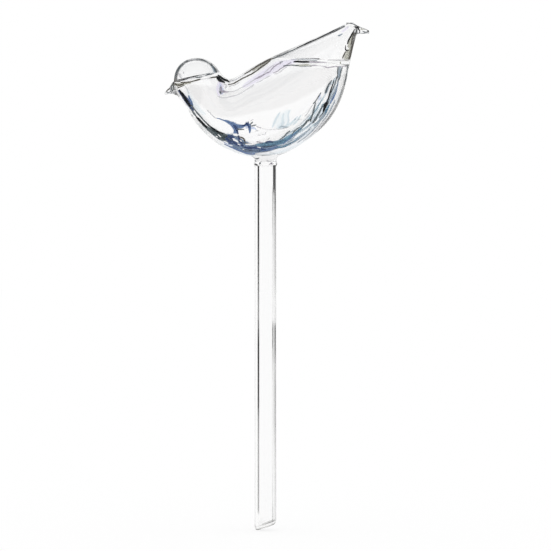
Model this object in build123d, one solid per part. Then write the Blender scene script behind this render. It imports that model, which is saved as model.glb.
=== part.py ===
"""A glass watering globe: a blown bird that holds water, on a long hollow stem.

The bird faces -X and its tail rises towards +X. The stem stands along +Z below the belly, and its
lower end is pushed into the soil of a plant pot, so that the water seeps out through the bore. All
sizes are in millimetres. The origin is on the stem's axis, level with the lowest point of the stem.
"""

from build123d import *
from math import cos, hypot, radians, sin, tan
from pathlib import Path
import os

# Stem: standard laboratory tubing, cut at a slant and fire-polished at the lower end
stem_length = 201.0
stem_diameter = 12.0
stem_wall = 1.8
tip_slant_degrees = 18.0
fire_polish_radius = 0.45

# Weld between the stem and the belly
weld_height = 4.3
weld_bead_radius = 6.4
weld_bead_height = 3.0
weld_flare_radius = 7.2
weld_flare_rise = 2.2

# Bird: the box that its blown shell fills, without the beak and the tail tip
bird_length = 101.6
bird_height = 74.7
bird_width = 51.4
glass_wall = 1.2

# Where the stem's axis passes under the bird, as a share of bird_length from the head
stem_axis_share = 0.5

# Cross-sections from the head to the tail. Each row holds the point on the back, the point on the
# breast or belly, and the half width. Lengths are shares of bird_length from the head, heights are
# shares of bird_height above the belly, and half widths are shares of half of bird_width.
section_shares = [
    ((0.002, 0.567), (0.009, 0.509), 0.09),
    ((0.009, 0.630), (0.023, 0.458), 0.25),
    ((0.033, 0.687), (0.048, 0.419), 0.37),
    ((0.076, 0.727), (0.073, 0.375), 0.46),
    ((0.133, 0.740), (0.096, 0.313), 0.53),
    ((0.190, 0.719), (0.135, 0.235), 0.59),
    ((0.236, 0.667), (0.193, 0.155), 0.67),
    ((0.268, 0.610), (0.266, 0.086), 0.76),
    ((0.306, 0.584), (0.340, 0.040), 0.84),
    ((0.377, 0.628), (0.430, 0.010), 0.93),
    ((0.480, 0.710), (0.535, 0.008), 0.99),
    ((0.584, 0.777), (0.643, 0.062), 1.00),
    ((0.676, 0.831), (0.741, 0.149), 0.93),
    ((0.758, 0.880), (0.828, 0.254), 0.80),
    ((0.828, 0.923), (0.891, 0.379), 0.63),
    ((0.883, 0.956), (0.932, 0.527), 0.47),
    ((0.923, 0.983), (0.955, 0.682), 0.33),
    ((0.953, 0.999), (0.973, 0.800), 0.23),
    ((0.977, 1.000), (0.987, 0.878), 0.155),
    ((0.991, 0.986), (0.996, 0.922), 0.09),
]

# Beak: a solid drop of glass drawn out from the front of the head
beak_root_share = (0.024, 0.520)
beak_droop_degrees = 19.5
beak_length = 7.3
beak_root_radius = 4.6
beak_tip_radius = 0.7

# Tail tip: a solid drop of glass drawn out from the end of the tail
tail_root_share = (0.966, 0.953)
tail_droop_degrees = 8.0
tail_tip_length = 10.0
tail_tip_root_radius = 3.4
tail_tip_radius = 0.7

# Flank of a drawn tip: distances along it and radii between root and tip, both as shares
tip_flank_shares = [(0.25, 0.74), (0.50, 0.40), (0.75, 0.14)]

# Water: level under the tail, and the slanting surface under the air trapped in the head
tail_level_share = 0.703
head_level_share = (0.122, 0.588)
head_level_tilt_degrees = 10.4
nape_share = 0.30

# Air that stands in the throat as a dome, on top of the air in the stem, and holds the water up
throat_dome_radius = 5.0

# One overrun serves every cut
overrun = 6.0

stem_radius = stem_diameter / 2
bore_radius = stem_radius - stem_wall
belly_level = stem_length + weld_height


def bird_point(share):
    """The point in the bird's middle plane at shares of its length and height."""
    along, up = share
    return Vector((along - stem_axis_share) * bird_length, 0, belly_level + up * bird_height)


def moved_inwards(chain, depth, side):
    """A chain's inner points moved square to it by depth, to the right for side 1 or left for -1."""
    moved = []
    for before, point, after in zip(chain, chain[1:], chain[2:]):
        run = after - before
        normal = Vector(run.Z, 0, -run.X).normalized() * side
        moved.append(point + normal * depth)
    return moved


def bird_sections(depth):
    """Back points, belly points and half widths of a skin that lies depth inside the outer one."""
    backs = [bird_point(back) for back, belly, width in section_shares]
    bellies = [bird_point(belly) for back, belly, width in section_shares]
    widths = [width * bird_width / 2 for back, belly, width in section_shares]
    if not depth:
        return backs, bellies, widths
    middles = [(back + belly) / 2 for back, belly in zip(backs, bellies)]
    front, rear = middles[0], middles[-1]
    inner_widths = []
    spine = [front] + middles + [rear]
    spread = [0] + widths + [0]
    for place in range(len(widths)):
        run = (spine[place + 2] - spine[place]).length
        growth = spread[place + 2] - spread[place]
        inner_widths.append(widths[place] - depth * run / hypot(run, growth))
    inner_backs = moved_inwards([front] + backs + [rear], depth, 1)
    inner_bellies = moved_inwards([front] + bellies + [rear], depth, -1)
    return inner_backs, inner_bellies, inner_widths


def bird_solid(depth):
    """The closed solid inside the bird's skin, depth inside the outer surface."""
    sections = []
    for back, belly, width in zip(*bird_sections(depth)):
        across = back - belly
        plane = Plane(origin=(back + belly) / 2, x_dir=across, z_dir=across.cross(Vector(0, 1, 0)))
        sections.append(plane * Ellipse(across.length / 2, width))
    return loft(sections)


def bird_shell(outer, inner):
    """The blown shell, open only at the throat, where the stem's bore enters the belly."""
    throat_height = 2 * (glass_wall + overrun)
    throat = Pos(0, 0, belly_level) * Cylinder(bore_radius, throat_height)
    return outer - inner - throat


def drawn_tip(root, droop_degrees, facing, length, root_radius, tip_radius, body):
    """A solid drop of glass that tapers from a root on the body to a rounded tip."""
    droop = radians(droop_degrees)
    along = Vector(facing * cos(droop), 0, -sin(droop))
    plane = Plane(origin=root, x_dir=along, z_dir=(0, -facing, 0))
    taper = root_radius - tip_radius
    flank_points = [(0, root_radius)]
    flank_points += [(far * length, tip_radius + wide * taper) for far, wide in tip_flank_shares]
    flank_points += [(length, tip_radius)]
    flank = Spline(*flank_points)
    end = Line((length, tip_radius), (length, 0))
    axis_line = Line((length, 0), (0, 0))
    root_line = Line((0, 0), (0, root_radius))
    profile = make_face([flank, end, axis_line, root_line])
    drop = revolve(plane * profile, Axis(root, along))
    rounded_end = Pos(*(root + along * length)) * Sphere(tip_radius)
    return drop + rounded_end - body


def weld_ring(body):
    """The bead of glass that joins the stem's top to the belly round the throat."""
    bead_top = stem_length + weld_bead_height
    flare_top = belly_level + weld_flare_rise
    bead = ThreePointArc(
        (stem_radius, stem_length),
        (weld_bead_radius, stem_length + weld_bead_height / 2),
        (stem_radius, bead_top),
    )
    flare = Bezier((stem_radius, bead_top), (stem_radius, belly_level), (weld_flare_radius, flare_top))
    rest = Polyline(
        (weld_flare_radius, flare_top),
        (bore_radius, flare_top),
        (bore_radius, stem_length),
        (stem_radius, stem_length),
    )
    profile = Plane.XZ * make_face([bead, flare, rest])
    return revolve(profile, Axis.Z) - body


def stem_tube():
    """The hollow stem, with its lower end cut at a slant, low side to -X, and fire-polished."""
    slope = radians(tip_slant_degrees)
    polished_away = fire_polish_radius * (tan(slope) + 1 / cos(slope) - 1)
    tube = Pos(0, 0, -polished_away) * extrude(
        Circle(stem_radius) - Circle(bore_radius), stem_length + polished_away
    )
    slant = Plane(origin=(-stem_radius, 0, -polished_away)).rotated((0, -tip_slant_degrees, 0))
    cutter_side = 4 * stem_diameter
    waste = slant * Box(cutter_side, cutter_side, cutter_side, align=(Align.CENTER, Align.CENTER, Align.MAX))
    tube -= waste
    slant_edges = tube.edges().filter_by(GeomType.CIRCLE, reverse=True).filter_by(GeomType.LINE, reverse=True)
    return fillet(slant_edges, fire_polish_radius)


def water_fill(inner):
    """The water: all of the cavity but the air in the tail, in the head and in the throat."""
    nape = bird_point((nape_share, 0)).X
    level = bird_point((0, tail_level_share)).Z
    reach = 2 * bird_length
    tail_air = Pos(nape, 0, level) * Box(
        reach, reach, reach, align=(Align.MIN, Align.CENTER, Align.MIN)
    )
    surface = bird_point(head_level_share)
    head_air = Pos(*surface) * Rot(0, -head_level_tilt_degrees, 0) * Box(
        reach, reach, reach, align=(Align.CENTER, Align.CENTER, Align.MIN)
    )
    head_air -= Pos(nape, 0, level) * Box(
        2 * reach, 2 * reach, 2 * reach, align=(Align.MIN, Align.CENTER, Align.CENTER)
    )
    throat_air = Pos(0, 0, belly_level + glass_wall) * Sphere(throat_dome_radius)
    return inner - tail_air - head_air - throat_air


outer = bird_solid(0)
inner = bird_solid(glass_wall)

parts = {
    "bird_body": bird_shell(outer, inner),
    "beak": drawn_tip(
        bird_point(beak_root_share), beak_droop_degrees, -1,
        beak_length, beak_root_radius, beak_tip_radius, outer,
    ),
    "tail_tip": drawn_tip(
        bird_point(tail_root_share), tail_droop_degrees, 1,
        tail_tip_length, tail_tip_root_radius, tail_tip_radius, outer,
    ),
    "neck_weld": weld_ring(outer),
    "stem_tube": stem_tube(),
    "water_fill": water_fill(inner),
}

os.makedirs("parts", exist_ok=True)
for name, shape in parts.items():
    export_step(shape, str(Path("parts") / f"{name}.step"))
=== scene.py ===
"""Looks of a glass watering globe: a blown bird that holds water, on a long hollow stem.

Lengths are in metres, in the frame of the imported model: the stem's axis is the Z axis, its lowest
point is at Z = 0, the beak points to -X and the tail to +X.
"""

import logging
import math
from collections.abc import Sequence
from dataclasses import dataclass
from enum import Enum

import bmesh
import bpy
import numpy as np
from bpy.types import Material, Node, NodeSocket, NodeTree, Object
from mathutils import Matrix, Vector, noise
from mathutils.bvhtree import BVHTree


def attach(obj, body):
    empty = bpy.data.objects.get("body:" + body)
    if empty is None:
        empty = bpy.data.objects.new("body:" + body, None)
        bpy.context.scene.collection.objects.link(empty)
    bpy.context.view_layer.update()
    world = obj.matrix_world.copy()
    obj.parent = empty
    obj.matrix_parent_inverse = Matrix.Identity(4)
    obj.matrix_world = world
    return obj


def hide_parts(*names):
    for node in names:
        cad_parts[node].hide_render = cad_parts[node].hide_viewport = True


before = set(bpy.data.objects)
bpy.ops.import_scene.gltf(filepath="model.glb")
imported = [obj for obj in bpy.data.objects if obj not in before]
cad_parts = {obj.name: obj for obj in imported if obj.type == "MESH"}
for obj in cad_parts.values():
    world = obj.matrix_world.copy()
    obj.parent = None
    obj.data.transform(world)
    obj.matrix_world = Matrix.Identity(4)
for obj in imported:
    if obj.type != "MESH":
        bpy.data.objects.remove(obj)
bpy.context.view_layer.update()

MM = 0.001
WHOLE_TURN = 2 * math.pi
Pair = tuple[float, float]
# How a Map Range node, which takes a value, its two ends and what they become, eases between them
SMOOTH = {"interpolation_type": "SMOOTHSTEP"}
log = logging.getLogger("watering_globe")


# Nodes and colours


def linear(hex_code: str) -> tuple[float, float, float, float]:
    """Turns an sRGB hex code into a linear colour.

    Args:
        hex_code: six hex digits, with or without a leading hash.

    Returns:
        Red, green, blue and an alpha of 1.
    """
    digits = hex_code.lstrip("#")
    shares = [int(digits[i:i + 2], 16) / 255 for i in (0, 2, 4)]
    red, green, blue = (
        s / 12.92 if s <= 0.04045 else ((s + 0.055) / 1.055) ** 2.4 for s in shares
    )
    return red, green, blue, 1.0


def add(
    tree: NodeTree,
    kind: str,
    inputs: dict | Sequence = (),
    output: int | str = 0,
    stops: Sequence[tuple[float, object]] = (),
    **settings: object,
) -> NodeSocket | None:
    """Adds a node, with its settings and links.

    Args:
        tree: the tree that gets the node.
        kind: the node's type name.
        inputs: a value, or the socket that feeds it, for each input in order or by name or number.
        output: the output that is handed back, by name or number.
        stops: a colour ramp's places from 0 to 1, each with a colour or a grey share.
        **settings: the node's own settings.

    Returns:
        That output, or None for a node without outputs.
    """
    node = tree.nodes.new(kind)
    for name, value in settings.items():
        setattr(node, name, value)
    for key, value in inputs.items() if isinstance(inputs, dict) else enumerate(inputs):
        if isinstance(value, NodeSocket):
            tree.links.new(value, node.inputs[key])
        else:
            node.inputs[key].default_value = value
    if stops:
        elements = node.color_ramp.elements
        elements.remove(elements[1])
        for spot, _ in stops[1:]:
            elements.new(spot)
        for element, (spot, shade) in zip(elements, stops):
            element.position = spot
            element.color = shade if isinstance(shade, tuple) else (shade, shade, shade, 1.0)
    return node.outputs[output] if node.outputs else None


def new_material(name: str) -> tuple[Material, NodeTree]:
    """Makes a material with an empty node tree."""
    material = bpy.data.materials.new(name)
    material.use_nodes = True
    material.node_tree.nodes.clear()
    return material, material.node_tree


# Shapes


def spline_through(knots: np.ndarray, values: np.ndarray, at: np.ndarray) -> np.ndarray:
    """Runs a natural cubic spline through values. Its curvature has no jumps, so glass that follows
    it bends light without a kink.

    Args:
        knots: where the values stand, rising.
        values: one value or one row of values for each knot.
        at: where the spline is read.

    Returns:
        The spline's row of values at each place in at.
    """
    values = values.reshape(len(knots), -1)
    gaps = np.diff(knots)
    slopes = np.diff(values, axis=0) / gaps[:, None]
    system = np.eye(len(knots))
    right = np.zeros_like(values)
    for i in range(1, len(knots) - 1):
        system[i, i - 1:i + 2] = gaps[i - 1], 2 * (gaps[i - 1] + gaps[i]), gaps[i]
        right[i] = 6 * (slopes[i] - slopes[i - 1])
    bends = np.linalg.solve(system, right)
    span = np.clip(np.searchsorted(knots, at, side="right") - 1, 0, len(gaps) - 1)
    gap = gaps[span][:, None]
    after = (at - knots[span])[:, None]
    before = gap - after
    return (
        (bends[span] * before ** 3 + bends[span + 1] * after ** 3) / (6 * gap)
        + (values[span] / gap - bends[span] * gap / 6) * before
        + (values[span + 1] / gap - bends[span + 1] * gap / 6) * after
    )


@dataclass
class Skin:
    """A closed skin of rings between two poles.

    Attributes:
        rings: an array of rings by points by three coordinates.
        first: the pole before the first ring.
        last: the pole after the last ring.
    """

    rings: np.ndarray
    first: np.ndarray
    last: np.ndarray

    def normals(self) -> np.ndarray:
        """Finds which way the skin faces.

        Returns:
            The outward unit normal at each ring point.
        """
        poles = [np.broadcast_to(p, self.rings[:1].shape) for p in (self.first, self.last)]
        rows = np.concatenate([poles[0], self.rings, poles[1]])
        along = rows[2:] - rows[:-2]
        around = np.roll(self.rings, -1, axis=1) - np.roll(self.rings, 1, axis=1)
        across = np.cross(around, along)
        return across / np.linalg.norm(across, axis=2, keepdims=True)

    def sunk(self, depth: np.ndarray | float) -> "Skin":
        """A skin that lies deeper inside this one.

        Args:
            depth: how deep, as one number or one for each ring point.

        Returns:
            The deeper skin, with the same rings.
        """
        depths = np.broadcast_to(np.asarray(depth, float), self.rings.shape[:2])
        ends = []
        for pole, other, row in ((self.first, self.last, 0), (self.last, self.first, -1)):
            centre = self.rings[row].mean(axis=0)
            inwards = centre - pole
            if np.linalg.norm(inwards) < 1e-9:
                inwards = other - pole
            ends.append(pole + inwards / np.linalg.norm(inwards) * depths[row].mean())
        return Skin(self.rings - self.normals() * depths[..., None], *ends)

    def faces(self, flipped: bool = False, first_index: int = 0) -> list[tuple[int, ...]]:
        """The faces of the skin, for vertices in the order of vertices().

        Args:
            flipped: True turns the faces inwards, as on the wall of a hollow.
            first_index: the number of this skin's first vertex.

        Returns:
            One tuple of vertex numbers for each face.
        """
        count, sides = self.rings.shape[:2]
        last = count * sides + 1
        made = []
        for i in range(sides):
            j = (i + 1) % sides
            made.append((0, 1 + i, 1 + j))
            for row in range(count - 1):
                low, high = 1 + row * sides, 1 + (row + 1) * sides
                made.append((low + i, high + i, high + j, low + j))
            top = 1 + (count - 1) * sides
            made.append((top + i, last, top + j))
        return [
            tuple(first_index + n for n in (face if flipped else face[::-1])) for face in made
        ]

    def vertices(self) -> list[Sequence[float]]:
        """The first pole, all ring points and the last pole."""
        return [self.first, *self.rings.reshape(-1, 3), self.last]


def lathed(profile: Sequence[Pair], sides: int) -> Skin:
    """Turns a profile round the Z axis.

    Args:
        profile: points as distance from the axis and height, upwards.
        sides: number of points round a ring.

    Returns:
        The closed skin.
    """
    angle = np.linspace(0, WHOLE_TURN, sides, endpoint=False)
    rings = np.array([
        np.stack([r * np.cos(angle), r * np.sin(angle), np.full(sides, z)], axis=1) for r, z in profile
    ])
    return Skin(rings, np.array([0, 0, profile[0][1]]), np.array([0, 0, profile[-1][1]]))


def new_piece(name: str, vertices: Sequence[Sequence[float]], faces: Sequence[tuple]) -> Object:
    """Makes a smooth mesh object at the origin.

    Args:
        name: the piece's name.
        vertices: the points of the mesh.
        faces: vertex numbers of each face.

    Returns:
        The new object, linked into the scene.
    """
    mesh = bpy.data.meshes.new(name)
    mesh.from_pydata([tuple(map(float, v)) for v in vertices], [], faces)
    mesh.validate()
    mesh.shade_smooth()
    piece = bpy.data.objects.new(name, mesh)
    bpy.context.scene.collection.objects.link(piece)
    return piece


def apply_modifiers(piece: Object) -> None:
    """Turns a piece and its modifiers into a plain mesh."""
    evaluated = piece.evaluated_get(bpy.context.evaluated_depsgraph_get())
    made = bpy.data.meshes.new_from_object(evaluated)
    piece.modifiers.clear()
    piece.data = made


def cut_away(piece: Object, tool: Object) -> None:
    """Cuts a closed tool out of a piece, and deletes the tool."""
    boolean = piece.modifiers.new("cut", "BOOLEAN")
    boolean.operation, boolean.solver, boolean.object = "DIFFERENCE", "EXACT", tool
    apply_modifiers(piece)
    bpy.data.objects.remove(tool)


def finish_piece(piece: Object, node: str, sharp_degrees: float = 40) -> None:
    """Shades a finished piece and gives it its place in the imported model.

    Args:
        piece: the finished piece.
        node: the CAD node that it replaces.
        sharp_degrees: edges that turn by more than this stay sharp.
    """
    piece.data.shade_smooth()
    piece.data.set_sharp_from_angle(angle=math.radians(sharp_degrees))
    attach(piece, "root")
    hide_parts(node)
    corners = np.array([v.co for v in piece.data.vertices]) / MM
    log.info(
        "%s: %d faces, from %s to %s mm", piece.name, len(piece.data.polygons),
        corners.min(axis=0).round(1).tolist(), corners.max(axis=0).round(1).tolist(),
    )


def run_tree(piece: Object, tree: NodeTree, values: dict[str, object]) -> None:
    """Runs a Geometry Nodes tree on a piece and keeps the plain mesh.

    Args:
        piece: the piece, whose mesh goes in.
        tree: the tree.
        values: the tree's inputs by their names.
    """
    modifier = piece.modifiers.new("nodes", "NODES")
    modifier.node_group = tree
    for socket in tree.interface.items_tree:
        if socket.name in values:
            modifier[socket.identifier] = values[socket.name]
    apply_modifiers(piece)


def new_tree(name: str, sockets: dict[str, str]) -> tuple[NodeTree, Node]:
    """Makes a Geometry Nodes tree with named inputs.

    Args:
        name: the tree's name.
        sockets: the kind of each input, by name.

    Returns:
        The tree and its group input node.
    """
    tree = bpy.data.node_groups.new(name, "GeometryNodeTree")
    tree.interface.new_socket("Geometry", in_out="OUTPUT", socket_type="NodeSocketGeometry")
    tree.interface.new_socket("Geometry", in_out="INPUT", socket_type="NodeSocketGeometry")
    for label, kind in sockets.items():
        tree.interface.new_socket(label, in_out="INPUT", socket_type=kind)
    return tree, add(tree, "NodeGroupInput").node


# Finishes


@dataclass(frozen=True)
class GlassFinish:
    """Clear borosilicate glass, flame-worked, with no polish but the fire's own.

    It gives the eye almost nothing but its edges: thin dark lines of painted shade, a dark opaque
    layer that is mixed in where the wall turns away.

    Attributes:
        name: the material's name.
        tint: sRGB hex of the glass in a thin wall.
        line: sRGB hex of the painted shade in the dark lines.
        ior: how much it bends light.
        grazing: the share of turning away, from 0 head-on to 1 edge-on, from which and up to which a
            wall darkens that light meets from the air.
        total: the same inside the glass, just past the angle of total reflection, or None.
        line_strength: how dark the lines get, from 0 to 1.
        unevenness: how much the lines thin out and swell along the glass, as a share of turning away.
        uneven_pitch: the distance over which they do.
        ripple_pitch: the distance between the ripples that blowing leaves.
        ripple_height: how high the ripples stand.
    """

    name: str
    tint: str = "#FEFEFE"
    line: str = "#222423"
    ior: float = 1.47
    grazing: Pair = (0.72, 0.88)
    total: Pair | None = (0.262, 0.31)
    line_strength: float = 0.92
    unevenness: float = 0.10
    uneven_pitch: float = 8 * MM
    ripple_pitch: float = 11 * MM
    ripple_height: float = 0.03 * MM

    def tinted(self, tree: NodeTree) -> tuple[object, object]:
        """The colour of bare glass, and nothing opaque on it."""
        return linear(self.tint), 0.0

    def weight(self, tree: NodeTree) -> object:
        """How heavy the lines are, from 0 to 1: the same everywhere."""
        return 1.0

    def lines(self, tree: NodeTree) -> NodeSocket:
        """Draws the dark lines of painted shade.

        Args:
            tree: the material's tree.

        Returns:
            How dark the glass is, from 0 to 1.
        """
        place = add(tree, "ShaderNodeTexCoord", output="Object")
        stray = add(tree, "ShaderNodeTexNoise", {
            "Vector": place, "Scale": 1 / self.uneven_pitch, "Detail": 2.0,
        })
        facing = add(tree, "ShaderNodeLayerWeight", {"Blend": 0.5}, output="Facing")
        reach = self.unevenness / 2
        shift = add(tree, "ShaderNodeMapRange", [stray, 0.3, 0.7, -reach, reach], clamp=False)
        strayed = add(tree, "ShaderNodeMath", [facing, shift])
        drawn = add(tree, "ShaderNodeMapRange", [strayed, *self.grazing], **SMOOTH)
        if self.total:
            begins = add(tree, "ShaderNodeMath", [facing, self.total[0]], operation="GREATER_THAN")
            ends = add(tree, "ShaderNodeMapRange", [strayed, *self.total, 1.0, 0.0], **SMOOTH)
            between = add(tree, "ShaderNodeMath", [begins, ends], operation="MULTIPLY")
            inside = add(tree, "ShaderNodeNewGeometry", output="Backfacing")
            drawn = add(tree, "ShaderNodeMix", {0: inside, 2: drawn, 3: between}, data_type="FLOAT")
        return add(tree, "ShaderNodeMath", [drawn, self.weight(tree)], operation="MULTIPLY")

    def build(self) -> Material:
        """Makes the material.

        Returns:
            The new material.
        """
        material, tree = new_material(self.name)
        place = add(tree, "ShaderNodeTexCoord", output="Object")
        ripples = add(tree, "ShaderNodeTexNoise", {
            "Vector": place, "Scale": 1 / self.ripple_pitch, "Detail": 1.0, "Roughness": 0.4,
        })
        bump = add(tree, "ShaderNodeBump", {
            "Height": ripples, "Strength": 1.0, "Distance": self.ripple_height,
        })
        colour, cover = self.tinted(tree)
        glass = add(tree, "ShaderNodeBsdfPrincipled", {
            "Base Color": colour, "Roughness": 0.0, "IOR": self.ior, "Transmission Weight": 1.0,
            "Normal": bump,
        })
        # The opaque layer carries any painted light that covers the glass, and dark is the painted shade of
        # the lines
        opaque, dark = (
            add(tree, "ShaderNodeBsdfPrincipled", {
                "Base Color": shade, "Roughness": 0.5, "Specular IOR Level": 0.0,
            })
            for shade in (colour, linear(self.line))
        )
        covered = add(tree, "ShaderNodeMixShader", [cover, glass, opaque])
        factors = [self.lines(tree), self.line_strength]
        strength = add(tree, "ShaderNodeMath", factors, operation="MULTIPLY")
        lined = add(tree, "ShaderNodeMixShader", [strength, covered, dark])
        add(tree, "ShaderNodeOutputMaterial", {"Surface": lined})
        return material


@dataclass(frozen=True)
class WeighedGlassFinish(GlassFinish):
    """Blown borosilicate glass whose lines of painted shade are heavy along the head and the back and
    faint under the belly, as the mesh attribute line_weight tells."""

    def weight(self, tree: NodeTree) -> NodeSocket:
        """How heavy the lines are, from 0 to 1."""
        return add(tree, "ShaderNodeAttribute", output="Fac", attribute_name="line_weight")


@dataclass(frozen=True)
class BoreLine:
    """One dark line of painted shade on a tube's bore.

    Attributes:
        tailwards: whether it lies towards the tail, or else towards the beak.
        inside: whether light meets it inside the glass, or else from the air.
        begins: shares of turning away between which it darkens. One alone is a hard edge.
        ends: shares of turning away between which it fades again. With none it runs to the edge.
        ramp: how dark it is at shares of the stem's length.
    """

    tailwards: bool
    inside: bool
    begins: tuple[float, ...]
    ends: tuple[float, ...]
    ramp: tuple[Pair, ...]


# How dark the painted shade of the bore's line towards the beak is at shares of the stem's length
BEAK_RAMP = (
    (0.0, 0.0), (0.04, 0.0), (0.055, 0.36), (0.13, 0.42), (0.18, 0.40), (0.25, 0.42), (0.31, 0.54),
    (0.345, 0.86), (0.52, 1.0), (0.55, 0.75), (0.58, 0.5), (0.62, 0.5), (0.66, 0.62), (0.72, 0.72),
    (0.80, 0.96), (1.0, 1.0),
)

BORE_LINES = (
    # The line towards the beak, as seen from the air and from inside the glass
    BoreLine(False, False, (0.42, 0.46), (), BEAK_RAMP),
    BoreLine(False, True, (0.20,), (0.285, 0.315), BEAK_RAMP),
    # The broad line towards the tail
    BoreLine(True, True, (0.262,), (0.51, 0.59), (
        (0.0, 0.1), (0.04, 0.1), (0.07, 0.04), (0.22, 0.08), (0.30, 0.20), (0.43, 0.18), (0.50, 0.32),
        (0.56, 0.36), (0.58, 0.05), (0.68, 0.12), (0.80, 0.20), (0.88, 0.24), (0.92, 0.40), (0.94, 0.94),
        (1.0, 1.0),
    )),
    # The fine line at its outer edge
    BoreLine(True, True, (0.39, 0.45), (0.58, 0.63), (
        (0.0, 0.2), (0.09, 0.28), (0.20, 0.34), (0.28, 0.56), (0.38, 0.68), (0.45, 0.54), (0.49, 0.92),
        (0.52, 1.0), (0.555, 1.0), (0.57, 0.34), (0.62, 0.16), (0.70, 0.50), (0.82, 0.56), (0.86, 0.76),
        (0.90, 1.0), (1.0, 1.0),
    )),
    # The fine line at its inner edge
    BoreLine(True, False, (0.49, 0.58), (), (
        (0.0, 0.4), (0.05, 0.4), (0.09, 0.2), (0.20, 0.10), (0.40, 0.08), (0.49, 0.40), (0.51, 0.90),
        (0.555, 0.90), (0.58, 0.08), (0.80, 0.12), (0.84, 0.40), (0.93, 0.52), (0.95, 0.0), (1.0, 0.0),
    )),
)


@dataclass(frozen=True)
class BoreFinish(GlassFinish):
    """The bore of drawn borosilicate tubing.

    It gives the eye one fine dark line of painted shade towards the beak, and one broader line
    towards the tail that splits in two further down. Both swell and fade along the stem.

    Attributes:
        length: the stem's length.
        swap: half the width over which one side's lines give way to the other's.
    """

    length: float = 201 * MM
    swap: float = 2.0 * MM

    def lines(self, tree: NodeTree) -> NodeSocket:
        """Draws the dark lines of painted shade.

        Args:
            tree: the material's tree.

        Returns:
            How dark the glass is, from 0 to 1.
        """
        place = add(tree, "ShaderNodeTexCoord", output="Object")
        parts = add(tree, "ShaderNodeSeparateXYZ", [place]).node.outputs
        height = add(tree, "ShaderNodeMath", [parts["Z"], self.length], operation="DIVIDE")
        facing = add(tree, "ShaderNodeLayerWeight", {"Blend": 0.5}, output="Facing")
        inside = add(tree, "ShaderNodeNewGeometry", output="Backfacing")
        outside = add(tree, "ShaderNodeMath", [1.0, inside], operation="SUBTRACT")
        beakwards, tailwards = (
            add(tree, "ShaderNodeMapRange", [parts["X"], -way * self.swap, way * self.swap])
            for way in (-1, 1)
        )
        drawn = None
        for line in BORE_LINES:
            dark = add(tree, "ShaderNodeValToRGB", [height], stops=line.ramp)
            factors = [inside if line.inside else outside, tailwards if line.tailwards else beakwards]
            if len(line.begins) == 1:
                hard = [facing, line.begins[0]]
                factors.append(add(tree, "ShaderNodeMath", hard, operation="GREATER_THAN"))
            for edges, before, after in ((line.begins, 0.0, 1.0), (line.ends, 1.0, 0.0)):
                if len(edges) == 2:
                    span = [facing, *edges, before, after]
                    factors.append(add(tree, "ShaderNodeMapRange", span, **SMOOTH))
            for factor in factors:
                dark = add(tree, "ShaderNodeMath", [dark, factor], operation="MULTIPLY")
            drawn = add(tree, "ShaderNodeMath", [drawn, dark], operation="MAXIMUM") if drawn else dark
        return drawn


@dataclass(frozen=True)
class TubeFinish(GlassFinish):
    """The outside of drawn borosilicate tubing, fire-polished at its lower end.

    It gives the eye a faint dark line of painted shade along each side, and at the lower end a
    clearer one, with bands painted on the lip where the ground edge has melted over: grey painted
    shade with a white painted highlight between.

    Attributes:
        end: how far up from the lower end its lines are clearer.
        clear: the weight of the lines at the lower end.
        faint: their weight above that.
        radius: the tube's radius.
        slant: the slope of its lower end, in degrees.
        lip: the painted shade and painted highlight on the melted lip: heights above the cut, each with
            the sRGB hex and how opaque it is there.
    """

    end: float = 11 * MM
    clear: float = 0.35
    faint: float = 0.11
    radius: float = 6.0 * MM
    slant: float = 18.0
    lip: tuple[tuple[float, str, float], ...] = (
        (0.0, "#D4D4D2", 0.7), (0.3 * MM, "#D4D4D2", 0.7), (0.6 * MM, "#FFFFFF", 0.9),
        (1.5 * MM, "#FFFFFF", 0.9), (1.7 * MM, "#DADAD8", 0.3), (1.9 * MM, "#DADAD8", 0.3),
        (2.1 * MM, "#FDFDFD", 0.0),
    )

    def tinted(self, tree: NodeTree) -> tuple[NodeSocket, NodeSocket]:
        """Paints the shade and highlight on the melted lip.

        Args:
            tree: the material's tree.

        Returns:
            The colour and how opaque it is.
        """
        place = add(tree, "ShaderNodeTexCoord", output="Object")
        parts = add(tree, "ShaderNodeSeparateXYZ", [place]).node.outputs
        slope = math.tan(math.radians(self.slant))
        terms = [parts["X"], slope, self.radius * slope]
        cut = add(tree, "ShaderNodeMath", terms, operation="MULTIPLY_ADD")
        depth = add(tree, "ShaderNodeMath", [parts["Z"], cut], operation="SUBTRACT")
        share = add(tree, "ShaderNodeMath", [depth, self.lip[-1][0]], operation="DIVIDE")
        heights = [height / self.lip[-1][0] for height, code, opaque in self.lip]
        colours = [linear(code) for height, code, opaque in self.lip]
        covers = [opaque for height, code, opaque in self.lip]
        colour, cover = (
            add(tree, "ShaderNodeValToRGB", [share], stops=list(zip(heights, shades)))
            for shades in (colours, covers)
        )
        return colour, cover

    def weight(self, tree: NodeTree) -> NodeSocket:
        """Makes the lines clearer towards the lower end.

        Args:
            tree: the material's tree.

        Returns:
            How heavy the lines are, from 0 to 1.
        """
        place = add(tree, "ShaderNodeTexCoord", output="Object")
        height = add(tree, "ShaderNodeSeparateXYZ", [place], output="Z")
        return add(
            tree, "ShaderNodeMapRange", [height, 0.0, self.end, self.clear, self.faint], **SMOOTH,
        )


@dataclass(frozen=True)
class Hue:
    """How a hue of painted light or painted shade looks.

    Attributes:
        colours: sRGB hex codes. One is even. More make streaks that follow the belly's curve.
        cover: how opaque it is, from 0 for a painted tint on the glass to 1 for a solid painted mark.
        softness: how soft its edge is, as a share of its half width.
        raggedness: how ragged its edge is, as a share of its half width.
    """

    colours: tuple[str, ...]
    cover: float = 0.0
    softness: float = 0.5
    raggedness: float = 0.5


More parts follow.
